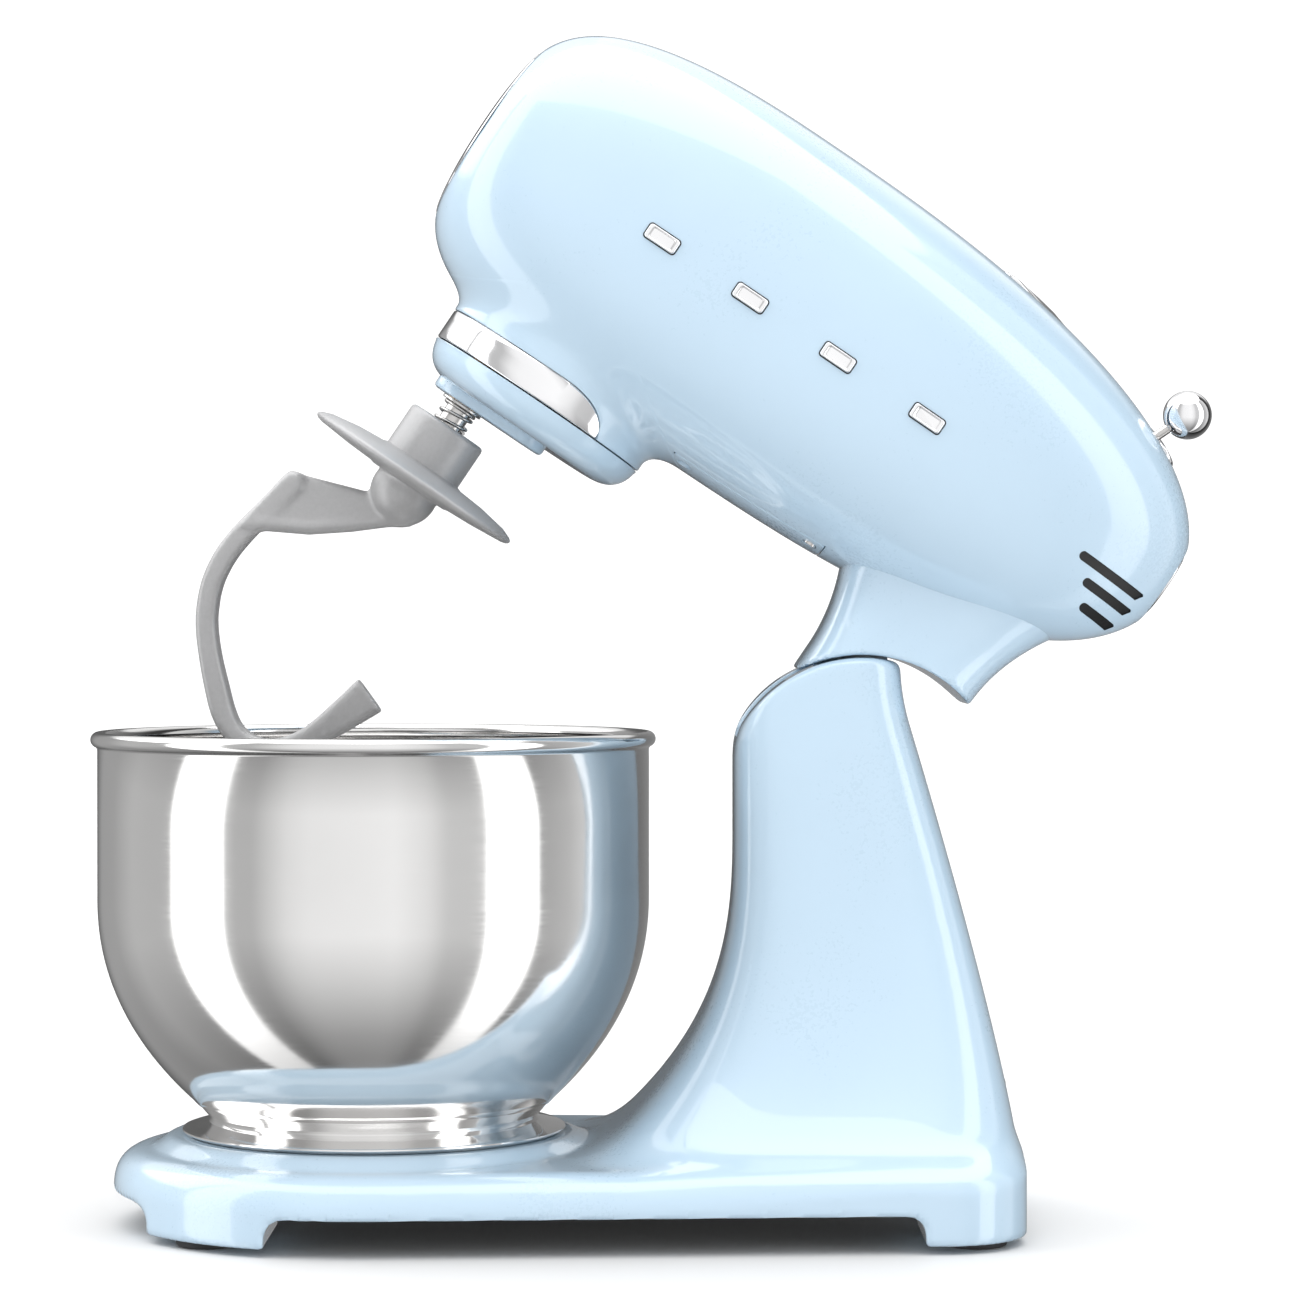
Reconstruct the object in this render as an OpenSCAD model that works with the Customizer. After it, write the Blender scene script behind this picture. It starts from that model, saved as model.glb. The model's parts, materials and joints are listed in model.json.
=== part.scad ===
// Tilt-head stand mixer, head raised. Millimetres, +Z up, front of the machine towards -X.
// The origin is on the table, under the middle of the machine.

/* [Stand] */
// Half of the base's width, at the bowl
base_r = 106; // [100:0.5:110]
// Half of the base's width, at the back
base_back_w = 92; // [84:0.5:98]
// Back edge of the base
base_back_x = 148; // [144:0.5:152]
// Height of the base's lower edge between its feet
skirt_z = 15; // [13:0.5:17]
// Height of the round boss that the bowl stands on
boss_z = 36.8; // [35:0.1:37.2]
// Front face of the column
column_front_x = 33; // [31:0.5:34]
// Half of the column's width at its top
column_w = 46; // [42:0.5:50]
// Height of a rubber foot
foot_h = 3; // [2:0.5:4]

/* [Hinge] */
// Position of the hinge pin
pivot_x = 84; // [83:0.5:85]
// Height of the hinge pin
pivot_z = 175; // [174:0.5:176]
// Tilt of the head from level
head_tilt = 34; // [0:1:34]
// Radius of the column's round top
column_top_r = 56; // [55:0.5:56.5]
// Half of the width of the slot in the column's top
slot_w = 17; // [17:0.25:18]

/* [Head] */
// Front end of the head shell, head level
head_front_x = -191.4; // [-193:0.2:-190]
// Back end of the head shell, head level
head_back_x = 139.7; // [138:0.1:141]
// Height of the head's widest line
head_mid_z = 317; // [316:0.5:318]
// Height of the head above that line
head_up = 72; // [70:0.5:74]
// Depth of the head below that line
head_down = 72.6; // [71:0.2:74]
// Half of the head's width
head_w = 68; // [66:0.5:70]
// Thickness of the head shell
shell_t = 3.5; // [3:0.25:4]

/* [Beater drive] */
// Position of the planetary axis and of the bowl, head level
hub_x = -114; // [-115:0.5:-113]
// Distance from the planetary axis to the beater shaft
orbit_r = 25; // [24:0.5:26]
// Radius of the collar
collar_r = 49.5; // [49:0.25:50]
// Radius of the beater shaft
beater_r = 5.5; // [5:0.1:5.8]
// Teeth of the fixed ring gear
ring_teeth = 45; // [45:3:45]
// Teeth of the small gear on the beater shaft
planet_teeth = 15; // [15:1:15]
// Teeth of the flat bevel gear
bevel_teeth = 36; // [36:1:36]
// Teeth of the bevel pinion
bevel_pinion_teeth = 12; // [12:1:12]

/* [Motor] */
// Teeth of the gear on the main shaft
main_teeth = 36; // [36:1:36]
// Teeth of the motor pinion
motor_teeth = 12; // [12:1:12]
// Height of the motor's axis above the main shaft
motor_rise = 22; // [21.5:0.25:22]
// Radius of the stator
stator_r = 36.5; // [34:0.5:37]

/* [Bowl] */
// Outer radius of the bowl's wall
bowl_r = 112.6; // [110:0.2:113]
// Height of the bowl's rim above the table
bowl_top_z = 200.5; // [198:0.5:202]
// Thickness of the bowl's sheet
bowl_t = 1.2; // [0.8:0.1:1.5]
// Radius of the rolled rim
rim_r = 3; // [2.5:0.1:3.5]

/* [Speed lever] */
// Position of the knob's middle at off, head level
knob_x = 109.5; // [107:0.1:111]
// Height of the knob's middle at off, head level
knob_z = 379; // [377:0.5:381]
// Lean of the lever's stem
lever_lean = 22; // [20:1:24]
// How far the lever slides forward
lever_travel = 58; // [40:1:60]
// Radius of the knob
knob_r = 10; // [9:0.5:11]

/* [Hidden] */
$fn = 64;

// Running clearance between a shaft and its hole
run_gap = 0.05;
pressure_angle = 20;
paint = "#cbe4f2";
steel = "#c8c8c8";
dark = "#2b2b2d";

// ---- functions

function lean_point(r, a) = [r * sin(a), r * cos(a)];
function super(c, n) = sign(c) * pow(abs(c), 2 / n);
function bezier(a, b, c, d, t) =
    pow(1 - t, 3) * a + 3 * pow(1 - t, 2) * t * b + 3 * (1 - t) * t * t * c + t * t * t * d;

// Height of a bulging outline at x, from its crest at mid to zero at end
function bulge(x, mid, end, p, q) = pow(max(0, 1 - pow(abs((x - mid) / (end - mid)), p)), 1 / q);

// Upper and lower heights and half-width of the head at x, made smaller all round by inset
head_crest_x = -75;
// How far the head's curves would run on past its flat ends
head_over = 3.8;
function head_top(x, inset) = (head_up - inset) * (x < head_crest_x
    ? bulge(x, head_crest_x, head_front_x - head_over + inset, 2.5, 4)
    : bulge(x, head_crest_x, head_back_x + head_over - inset, 2.5, 2.2));
function head_low(x, inset) = (head_down - inset) * (x < head_crest_x
    ? bulge(x, head_crest_x, head_front_x - head_over + inset, 2.5, 4.6)
    : bulge(x, head_crest_x, head_back_x + head_over - inset, 3.2, 2.2));
function head_side(x, inset) = (head_w - inset) * (x < head_crest_x
    ? bulge(x, head_crest_x, head_front_x - head_over + inset, 2.5, 4.75)
    : bulge(x, head_crest_x, head_back_x + head_over - inset, 2.5, 2.2));
function head_ring(x, inset, sides) = [for (i = [0:sides - 1])
    let (t = 360 * (i + 0.5) / sides, n = t < 180 ? 2.3 : 2.6)
    [x, head_side(x, inset) * super(cos(t), n),
        head_mid_z + (t < 180 ? head_top(x, inset) : head_low(x, inset)) * super(sin(t), n)]];

// Front and back faces and half-width of the column at height z
column_foot_z = 34;
function column_front(z) = column_front_x - 52 * pow(max(0, (160 - z) / 124), 2.7);
function column_back(z) = max(100.5, base_back_x - 1 - 41 * pow((z - column_foot_z) / 164, 1.2));
function column_side(z) = column_w + 34 * pow((228 - z) / 191, 4);
function column_ring(z, inset, sides) = [for (i = [0:sides - 1])
    let (t = 360 * (i + 0.5) / sides, f = column_front(z) + inset, b = column_back(z) - inset)
    [(f + b) / 2 + (b - f) / 2 * super(cos(t), 4.5), (column_side(z) - inset) * super(sin(t), 4.5), z]];

// Front and back edges and half-width of the neck at height z, head level
function neck_front(z) = column_front_x + 0.5 - 20 * pow(max(0, (z - 215) / 55), 2);
function neck_back(z) = 100.5 + 22 * pow(max(0, (z - 228) / 55), 2);
function ease(t) = let (s = max(0, min(1, t))) s * s * (3 - 2 * s);
function neck_side(z) = column_w - 11 * ease((z - 204) / 50);
function neck_ring(z, sides) = [for (i = [0:sides - 1])
    let (t = 360 * (i + 0.5) / sides, f = neck_front(z), b = neck_back(z),
        n = 4.5 - 1.9 * max(0, min(1, (z - 228) / 48)))
    [(f + b) / 2 + (b - f) / 2 * super(cos(t), n), neck_side(z) * super(sin(t), n), z]];

// Outline of a spur gear with a tooth at angle 0; slack under 1 thins the teeth
function tooth_half(r, teeth, slack) = PI * r / teeth / 2 * slack;
function gear_outline(teeth, r, add, ded, slack) = [for (i = [0:teeth - 1])
    let (h = tooth_half(r, teeth, slack), lean = tan(pressure_angle),
        root = (h + ded * lean) / (r - ded) * 180 / PI, tip = (h - add * lean) / (r + add) * 180 / PI)
    for (p = [[r - ded, -root], [r + add, -tip], [r + add, tip], [r - ded, root]])
        [p[0] * cos(i * 360 / teeth + p[1]), p[0] * sin(i * 360 / teeth + p[1])]];

// Outline of a bevel gear's large end, at the distance axial from the cones' common point
cone_add = 2.0;
cone_ded = 2.7;
function bevel_outline(teeth, r, axial, slack) = let (cone = sqrt(r * r + axial * axial),
    pitch = atan(r / axial), h = tooth_half(r, teeth, slack), lean = tan(pressure_angle),
    tip = (h - cone * tan(cone_add) * lean) / (cone * sin(pitch + cone_add)) * 180 / PI,
    root = (h + cone * tan(cone_ded) * lean) / (cone * sin(pitch - cone_ded)) * 180 / PI,
    tip_r = axial * tan(pitch + cone_add), root_r = axial * tan(pitch - cone_ded))
    [for (i = [0:teeth - 1], p = [[root_r, -root], [tip_r, -tip], [tip_r, tip], [root_r, root]])
        [p[0] * cos(i * 360 / teeth + p[1]), p[0] * sin(i * 360 / teeth + p[1])]];

// ---- shared shapes

// A skin over rings of points stacked along an axis
module loft(rings) {
    sides = len(rings[0]);
    last = len(rings) - 1;
    points = [for (r = rings, p = r) p];
    walls = [for (j = [0:last - 1], i = [0:sides - 1])
        let (a = j * sides + i, b = j * sides + (i + 1) % sides)
        for (f = [[a, a + sides, b + sides], [a, b + sides, b]]) f];
    low_cap = [for (i = [0:sides - 1]) i];
    high_cap = [for (i = [sides - 1:-1:0]) last * sides + i];
    polyhedron(points, concat(walls, [low_cap, high_cap]));
}

// A round wire coiled about Z, standing on z = 0
module coil(r, wire_r, turns, height) {
    steps = 14;
    sides = 6;
    rise = (height - 2 * wire_r) / (steps * turns);
    loft([for (j = [0:steps * turns]) let (a = 360 * j / steps, z = wire_r + rise * j)
        [for (i = [0:sides - 1]) let (t = -360 * i / sides, d = r + wire_r * cos(t))
            [d * cos(a), d * sin(a), z + wire_r * sin(t)]]]);
}

module tube(r, bore_r, h) {
    difference() {
        cylinder(r = r, h = h);
        translate([0, 0, -1]) cylinder(r = bore_r, h = h + 2);
    }
}

// Children drawn along +Z come out along +X, starting at x
module along_x(x, y, z) {
    translate([x, y, z]) rotate([0, 90, 0]) children();
}

// A flat outline drawn in X and Z, given thickness from y0 to y1
module upright(y0, y1) {
    translate([0, y1, 0]) rotate([90, 0, 0]) linear_extrude(y1 - y0) children();
}

module block(low, high) {
    translate(low) cube(high - low);
}

// Children drawn with the head level are turned to where the raised head holds them
module raised() {
    translate([pivot_x, 0, pivot_z]) rotate([0, head_tilt, 0]) translate([-pivot_x, 0, -pivot_z]) children();
}

module both_sides() {
    children();
    mirror([0, 1, 0]) children();
}

// ---- stand

foot_front_x = -175;
foot_back_x = 127;
foot_y = 66;
arm_low_y = -16.5;
arm_high_y = 7.5;
pin_r = 6;
pin_half = 38;
arm_hub_r = 18;
plate_low_y = 9.5;
plate_high_y = 14.5;
plate_edge_r = 38;
plate_under = 15.6;
inlet_z = 48;
inlet_r = 8;
cord_hole_r = 4.2;

// Plan of the base, smaller all round by inset
module base_outline(inset) {
    corner = 35;
    translate([hub_x, 0]) circle(r = base_r - inset, $fn = 96);
    polygon([[hub_x, -base_r + inset], [base_back_x - corner, -base_back_w + inset],
        [base_back_x - inset, corner - base_back_w], [base_back_x - inset, base_back_w - corner],
        [base_back_x - corner, base_back_w - inset], [hub_x, base_r - inset]]);
    both_sides() translate([base_back_x - corner, base_back_w - corner]) circle(r = corner - inset);
}

module foot_zones(grow) {
    both_sides() {
        translate([-200 - grow, 40 - grow]) square([50 + 2 * grow, 70]);
        translate([106 - grow, 40 - grow]) square([50, 70]);
    }
}

module stand_solid() {
    // the low base, crowned up to the boss under the bowl
    hull() {
        translate([0, 0, skirt_z]) linear_extrude(9) base_outline(0);
        translate([0, 0, 31]) linear_extrude(0.5) base_outline(9);
        translate([hub_x, 0, boss_z - 0.5]) cylinder(r = 82, h = 0.5);
    }
    // its four feet
    translate([0, 0, foot_h]) linear_extrude(skirt_z) intersection() {
        base_outline(1);
        foot_zones(0);
    }
    // the column, rounded over at the hinge
    intersection() {
        loft([for (z = [column_foot_z, 38, 43, 50, 60, 74, 92, 112, 136, 160, 182, 205, 228, 235])
            column_ring(z, 0, 36)]);
        union() {
            translate([0, -100, 0]) cube([200, 200, pivot_z]);
            translate([-30, -100, 0]) cube([100, 200, pivot_z]);
            upright(-100, 100) translate([pivot_x, pivot_z]) circle(r = column_top_r, $fn = 128);
        }
    }
}

module arm_slot() {
    translate([pivot_x, 0, pivot_z]) upright(-slot_w, slot_w) {
        circle(r = arm_hub_r + 1.5);
        polygon([lean_point(19.5, -112), lean_point(70, -60), [13.5, 80], [13.5, 57], [16, 31], [19.2, 3]]);
    }
}

module stand_body() {
    color(paint) difference() {
        stand_solid();
        // hollow under the base and inside the column
        translate([0, 0, -1]) linear_extrude(28) difference() {
            base_outline(5);
            foot_zones(4);
        }
        loft([for (z = [20, 40, 60, 85, 110, 135, 148]) column_ring(z, 7, 24)]);
        arm_slot();
        translate([pivot_x, 0, pivot_z]) upright(-pin_half, pin_half) circle(r = pin_r + 0.01);
        along_x(100, 0, inlet_z) cylinder(r = inlet_r + 0.01, h = 60);
        along_x(141.9, 0, inlet_z) cylinder(r = 11.3, h = 20);
        for (a = [30, 150, 270])
            translate([hub_x + 40 * cos(a), 40 * sin(a), 20]) cylinder(r = 2, h = 30);
    }
    color(paint) for (p = base_screw_places())
        translate([p[0], p[1], plate_under + 2.6]) tube(6, 2.01, 10);
}

module base_plate() {
    color(dark) translate([0, 0, plate_under]) difference() {
        linear_extrude(2.5) difference() {
            base_outline(5.5);
            foot_zones(4.5);
        }
        for (p = base_screw_places())
            translate([p[0], p[1], -1]) cylinder(r = 2.2, h = 5);
    }
}

function base_screw_places() = [for (x = [-120, 60], y = [-78, 78]) [x, y]];

module base_screws() {
    color(steel) for (p = base_screw_places())
        translate([p[0], p[1], plate_under]) {
            cylinder(r = 2, h = 11);
            translate([0, 0, -2]) cylinder(r = 4, h = 2);
        }
}

module rubber_feet() {
    color(dark) for (x = [foot_front_x, foot_back_x])
        both_sides() translate([x, foot_y, 0]) {
            cylinder(r1 = 11.5, r2 = 12.5, h = 1);
            translate([0, 0, 1]) cylinder(r = 12.5, h = foot_h - 1);
        }
}

plate_r = 56;
lug_r = 61.5;

// Three lugs, each spanning a width in degrees
module lugs(low_r, high_r, z0, z1, width, first) {
    for (a = [first, first + 120, first + 240])
        rotate([0, 0, a - width / 2]) translate([0, 0, z0]) rotate_extrude(angle = width)
            translate([low_r, 0]) square([high_r - low_r, z1 - z0]);
}

module bowl_plate() {
    color(steel) translate([hub_x, 0, 0]) {
        difference() {
            translate([0, 0, boss_z]) cylinder(r = plate_r, h = 1.4);
            for (a = [30, 150, 270])
                translate([40 * cos(a), 40 * sin(a), boss_z - 1]) cylinder(r = 2.2, h = 5);
        }
        translate([0, 0, boss_z]) tube(plate_r, plate_r - 2, 4.8);
        lugs(plate_r - 0.5, lug_r, boss_z + 3.3, boss_z + 4.8, 30, 0);
    }
}

module bowl_plate_screws() {
    color(steel) for (a = [30, 150, 270])
        translate([hub_x + 40 * cos(a), 40 * sin(a), boss_z - 7.6]) {
            cylinder(r = 1.99, h = 9);
            translate([0, 0, 9]) cylinder(r = 3.8, h = 1.8);
        }
}

module pivot_pin() {
    color(steel) translate([pivot_x, 0, pivot_z]) upright(-pin_half, pin_half) circle(r = pin_r);
}

// Steel plate beside the arm, with a notch for each of the head's two locked places
module lock_plate() {
    color(steel) translate([pivot_x, 0, pivot_z]) difference() {
        union() {
            upright(plate_low_y, plate_high_y) {
                circle(r = 15);
                polygon(concat([lean_point(14.9, 20)], [lean_point(14.9, -100)],
                    [for (a = [-55, -35, -15, 5, 20]) lean_point(plate_edge_r, a)]));
            }
            upright(plate_high_y, slot_w) circle(r = 12);
        }
        upright(0, 40) circle(r = pin_r + run_gap);
        for (a = [-8, -42])
            rotate([0, a, 0]) block([-3.6, 0, 33], [3.6, 20, 60]);
    }
}

module cord_inlet() {
    color(dark) along_x(0, 0, inlet_z) difference() {
        union() {
            translate([0, 0, 126]) cylinder(r = inlet_r, h = 16.1);
            translate([0, 0, 142]) cylinder(r1 = 11, r2 = 10, h = 2.6);
        }
        translate([0, 0, 120]) cylinder(r = cord_hole_r, h = 40);
    }
}

// ---- neck and head casings (drawn with the head level)

collar_z = 234;
band_z = 247;
band_back_x = -88;
collar_bore_r = 46;
collar_high_z = 266;
seat_x = [40, 92];
seat_y = 27;
seat_z = 280;
bolt_x = 56;
bolt_y = [10, 15];
button_r = 15;
button_z = 316;
button_x = 129;
outlet_r = 17.5;
outlet_wall = 24;
vents = [[101, 133.5, 304.2], [108.5, 133, 296.4], [113.5, 131, 287.8]];
vent_h = 3.9;
trim_places = [-105.8, -64.2, -22.6, 19.9];
trim_z = 313;
belly = [[-56, -30], [16, 30]];
plate_low_x = 14;
plate_end_x = 116;

module head_form(inset, stations, sides) {
    middle = (head_front_x + head_back_x) / 2;
    reach = (head_back_x - head_front_x) / 2 - inset;
    loft([for (i = [0:stations]) head_ring(middle - reach * cos(180 * i / stations), inset, sides)]);
}

module neck() {
    color(paint) raised() difference() {
        union() {
            // the casting between the head and the column's round top
            difference() {
                loft([for (z = [200, 215, 228, 240, 252, 264, 276, 288]) neck_ring(z, 36)]);
                head_form(-0.3, 22, 32);
                translate([pivot_x, 0, pivot_z]) upright(-100, 100) circle(r = column_top_r + 1, $fn = 128);
            }
            block([seat_x[0], -seat_y, 235], [seat_x[1], seat_y, seat_z]);
            // the arm that reaches down into the column
            translate([pivot_x, 0, pivot_z]) upright(arm_low_y, arm_high_y) {
                circle(r = arm_hub_r);
                polygon([lean_point(17.9, -108), lean_point(60, -52), lean_point(64, -40),
                    lean_point(62, -24), lean_point(17.9, 36)]);
            }
        }
        translate([pivot_x, 0, pivot_z]) upright(-50, 50) circle(r = pin_r + 3);
        // hollow above the hinge, and the passage for the lock bolt
        block([64, -21, 240], [88, 21, seat_z + 1]);
        block([bolt_x - 4, bolt_y[0] - 0.7, 190], [bolt_x + 4, bolt_y[1] + 0.7, seat_z + 1]);
    }
}

module pivot_bushes() {
    color("#b08d57") raised() translate([pivot_x, 0, pivot_z]) difference() {
        union() {
            upright(arm_low_y, arm_low_y + 11) circle(r = pin_r + 3);
            upright(arm_high_y - 11, arm_high_y) circle(r = pin_r + 3);
        }
        upright(-50, 50) circle(r = pin_r + run_gap);
    }
}

module vent_slots(low_y, high_y, shrink) {
    for (v = vents)
        block([v[0] + shrink, low_y, v[2] - vent_h / 2 + shrink],
            [v[1] - shrink, high_y, v[2] + vent_h / 2 - shrink]);
}

module head_shell() {
    color(paint) raised() difference() {
        union() {
            head_form(0, 22, 32);
            translate([hub_x, 0, collar_z]) cylinder(r = collar_r, h = 28);
        }
        head_form(shell_t, 18, 28);
        translate([hub_x, 0, collar_z - 1]) cylinder(r = collar_bore_r, h = collar_high_z - collar_z + 1);
        // recess for the chrome band
        intersection() {
            translate([hub_x, 0, collar_z - 1]) tube(collar_r + 1, 47.6, band_z - collar_z + 1);
            block([-200, -60, 200], [band_back_x, 60, 260]);
        }
        // openings: neck seat, belly cover, outlet, button, lever, vents
        block([seat_x[0] - 0.3, -seat_y - 0.3, 230], [seat_x[1] + 0.3, seat_y + 0.3, seat_z + 8]);
        block([belly[0][0], belly[0][1], 230], [belly[1][0], belly[1][1], 262]);
        along_x(-200, 0, head_mid_z) cylinder(r = outlet_wall + 0.02, h = 20);
        along_x(-200, 0, cover_pin_z) cylinder(r = 2.02, h = 20);
        along_x(120, 0, button_z) cylinder(r = button_r + 0.4, h = 40);
        block([40, -3.5, 345], [108, 3.5, 400]);
        both_sides() vent_slots(12, 80, 0);
    }
}

module belly_cover() {
    color(paint) raised() difference() {
        intersection() {
            head_form(0.4, 22, 32);
            block([belly[0][0] + 0.4, belly[0][1] + 0.4, 236], [belly[1][0] - 0.4, belly[1][1] - 0.4, 256]);
        }
        head_form(3, 18, 28);
        for (p = cover_screw_places()) translate([p[0], p[1], 236]) {
            cylinder(r = 1.8, h = 30);
            cylinder(r = 3.2, h = cover_head_z - 236);
        }
    }
}

cover_head_z = head_mid_z - 68.2;
function cover_screw_places() = [for (x = [-50, 10], y = [-22, 22]) [x, y]];

module cover_screws() {
    color(steel) raised() for (p = cover_screw_places())
        translate([p[0], p[1], cover_head_z]) {
            cylinder(r = 1.6, h = 8);
            translate([0, 0, -1.4]) cylinder(r = 3, h = 1.4);
        }
}

module chrome_band() {
    color("#dddddd") raised() intersection() {
        translate([hub_x, 0, collar_z]) tube(collar_r - 0.2, 47.7, band_z - collar_z - 0.1);
        block([-200, -60, 200], [band_back_x - 0.2, 60, 260]);
    }
}

module side_trim() {
    color("#dddddd") raised() intersection() {
        for (x = trim_places)
            block([x - 7, -80, trim_z - 3], [x + 7, 80, trim_z + 3]);
        difference() {
            head_form(-1.4, 22, 32);
            head_form(-0.05, 22, 32);
        }
    }
}

module vent_grilles() {
    color(dark) raised() both_sides() intersection() {
        vent_slots(12, 80, 0.1);
        difference() {
            head_form(0.8, 22, 32);
            head_form(shell_t + 0.6, 18, 28);
        }
    }
}

module speed_plate() {
    color("#dddddd") raised() difference() {
        intersection() {
            difference() {
                head_form(-1.3, 22, 32);
                head_form(-0.1, 22, 32);
            }
            block([plate_low_x, -9, 340], [plate_end_x, 9, 400]);
        }
        block([41, -2.6, 340], [107, 2.6, 400]);
    }
}

// ---- front outlet

cover_r = 39.4;
cover_z = 315;
cover_pin_z = cover_z + 33;
outlet_length = 25;

module outlet_socket() {
    color("#b9bcc0") raised() along_x(head_front_x + 0.5, 0, head_mid_z) difference() {
        cylinder(r = outlet_wall, h = 32.8);
        translate([0, 0, -1]) cylinder(r = outlet_r, h = outlet_length + 1);
        translate([0, 0, outlet_length]) cylinder(r = outlet_r + 2.5, h = 10);
    }
}

// the pin that the cover swings about, held by its flange inside the shell
module cover_hinge() {
    color("#dddddd") raised() {
        along_x(head_front_x - 1.2, 0, cover_pin_z) cylinder(r = 2, h = 5);
        along_x(head_front_x + shell_t, 0, cover_pin_z) cylinder(r = 4, h = 1.2);
    }
}

module hub_cover() {
    color("#dddddd") raised() difference() {
        along_x(head_front_x - 3.2, 0, cover_z) rotate_extrude($fn = 96)
            polygon([[0, 0], [14, 0.1], [24, 0.45], [31, 1], [36, 1.75], [38.6, 2.4], [cover_r, 2.8],
                [cover_r, 3.1], [0, 3.1]]);
        along_x(head_front_x - 1.3, 0, cover_pin_z) cylinder(r = 2 + run_gap, h = 3);
    }
}

// ---- gear train

main_z = head_mid_z;
main_r = 4;
bevel_r = 30;
bevel_pinion_r = bevel_r * bevel_pinion_teeth / bevel_teeth;
bevel_face = 0.3;
central_r = 6;
ring_pitch_r = orbit_r * ring_teeth / (ring_teeth - planet_teeth);
planet_pitch_r = orbit_r * planet_teeth / (ring_teeth - planet_teeth);
ring_add = 1.2;
ring_ded = 1.7;
main_pitch_r = motor_rise * main_teeth / (main_teeth + motor_teeth);
motor_pitch_r = motor_rise * motor_teeth / (main_teeth + motor_teeth);
spur_add = 0.75;
spur_ded = 1.1;
tooth_fill = 0.86;
shaft_x = hub_x - orbit_r;

module ring_gear() {
    color(steel) raised() translate([hub_x, 0, 236]) linear_extrude(12) difference() {
        circle(r = collar_bore_r - 0.3, $fn = 128);
        rotate(180) polygon(gear_outline(ring_teeth, ring_pitch_r, ring_ded, ring_add, 2 - tooth_fill));
    }
}

module gear_case() {
    color("#a9acb0") raised() difference() {
        union() {
            translate([hub_x, 0, 248.5]) tube(45.4, 38.5, 8);
            translate([hub_x, 0, 256]) cylinder(r = 45, h = 6);
            translate([hub_x, 0, 250]) cylinder(r = 19, h = 32);
            block([-158, -18, 260], [-151.5, 18, 334]);
            block([-76, -26, 260], [-69, 26, 340]);
            block([-105, -26, 262], [-69, 26, 267]);
        }
        translate([hub_x, 0, 240]) cylinder(r = central_r + 1, h = 60);
        for (z = [249, 274])
            translate([hub_x, 0, z]) cylinder(r = 14.01, h = 9);
        along_x(-160, 0, main_z) cylinder(r = 11.01, h = 100);
    }
}

module central_bearings() {
    color(steel) raised() for (z = [250, 274])
        translate([hub_x, 0, z]) tube(14, central_r + run_gap, 8);
}

module main_bearings() {
    color(steel) raised() for (x = [-158.5, -76])
        along_x(x, 0, main_z) tube(11, main_r + run_gap, 7);
}

module bevel_gear() {
    color(steel) raised() translate([hub_x, 0, main_z - bevel_pinion_r]) difference() {
        union() {
            linear_extrude(bevel_pinion_r * bevel_face, scale = 1 - bevel_face)
                rotate(180 / bevel_teeth) polygon(bevel_outline(bevel_teeth, bevel_r, bevel_pinion_r, 0.84));
            translate([0, 0, -4]) cylinder(r = 27, h = 4.01);
            translate([0, 0, -12]) cylinder(r = 11, h = 8.5);
        }
        translate([0, 0, -20]) cylinder(r = central_r + 0.01, h = 40);
    }
}

module bevel_pinion() {
    color(steel) raised() along_x(hub_x + bevel_r, 0, main_z) difference() {
        union() {
            mirror([0, 0, 1]) linear_extrude(bevel_r * bevel_face, scale = 1 - bevel_face)
                polygon(bevel_outline(bevel_pinion_teeth, bevel_pinion_r, bevel_r, 0.84));
            cylinder(r = 7, h = 5);
        }
        translate([0, 0, -30]) cylinder(r = main_r + 0.01, h = 60);
    }
}

module central_shaft() {
    color(steel) raised() translate([hub_x, 0, 224]) cylinder(r = central_r, h = 82.5);
}

module planet_housing() {
    round_r = 12;
    color(paint) raised() difference() {
        union() {
            translate([hub_x, 0, 0]) rotate_extrude($fn = 96)
                polygon(concat([[0, 220.6]],
                    [for (a = [-90:15:0]) [49.2 - round_r + round_r * cos(a), 231.6 + 11 * sin(a)]],
                    [[49.2, 233], [46.4, 233], [46.4, 231], [37, 223.6], [0, 223.6]]));
            hull() {
                translate([shaft_x, 0, 216.5]) cylinder(r = 14.5, h = 5, $fn = 32);
                translate([shaft_x + 25, 0, 216.5]) cylinder(r = 13, h = 5, $fn = 32);
            }
            translate([shaft_x, 0, 217]) cylinder(r = 10, h = 19.5);
            translate([hub_x, 0, 221]) cylinder(r = 10, h = 16);
        }
        translate([shaft_x, 0, 200]) cylinder(r = 7.51, h = 60);
        translate([hub_x, 0, 223.9]) cylinder(r = central_r + 0.01, h = 60);
    }
}

module shaft_bushes() {
    color("#b08d57") raised() for (z = [216.5, 228.5])
        translate([shaft_x, 0, z]) tube(7.5, beater_r + run_gap, 8);
}

module beater_shaft() {
    color(steel) raised() translate([shaft_x, 0, 0]) difference() {
        union() {
            translate([0, 0, 182]) cylinder(r = beater_r, h = 67);
            translate([0, 0, 181]) cylinder(r1 = beater_r - 1, r2 = beater_r, h = 1);
        }
        translate([0, 20, pin_z]) rotate([90, 0, 0]) cylinder(r = 2.01, h = 40);
    }
}

module planet_pinion() {
    color(steel) raised() translate([shaft_x, 0, 238]) linear_extrude(10) difference() {
        rotate(180) polygon(gear_outline(planet_teeth, planet_pitch_r, ring_add, ring_ded, tooth_fill));
        circle(r = beater_r + 0.01);
    }
}

pin_z = 196;
hook_r = 17.2;
hook_top_z = 206;

module drive_pin() {
    color(steel) raised() translate([shaft_x, 10, pin_z]) rotate([90, 0, 0]) cylinder(r = 2, h = 20);
}

module shaft_washer() {
    color(steel) raised() translate([shaft_x, 0, 215.2]) tube(9, beater_r + 0.3, 1.2);
}

module shaft_spring() {
    color(steel) raised() translate([shaft_x, 0, hook_top_z + 0.2]) coil(6.8, 0.6, 3, 8.6);
}

// ---- dough hook

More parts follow.
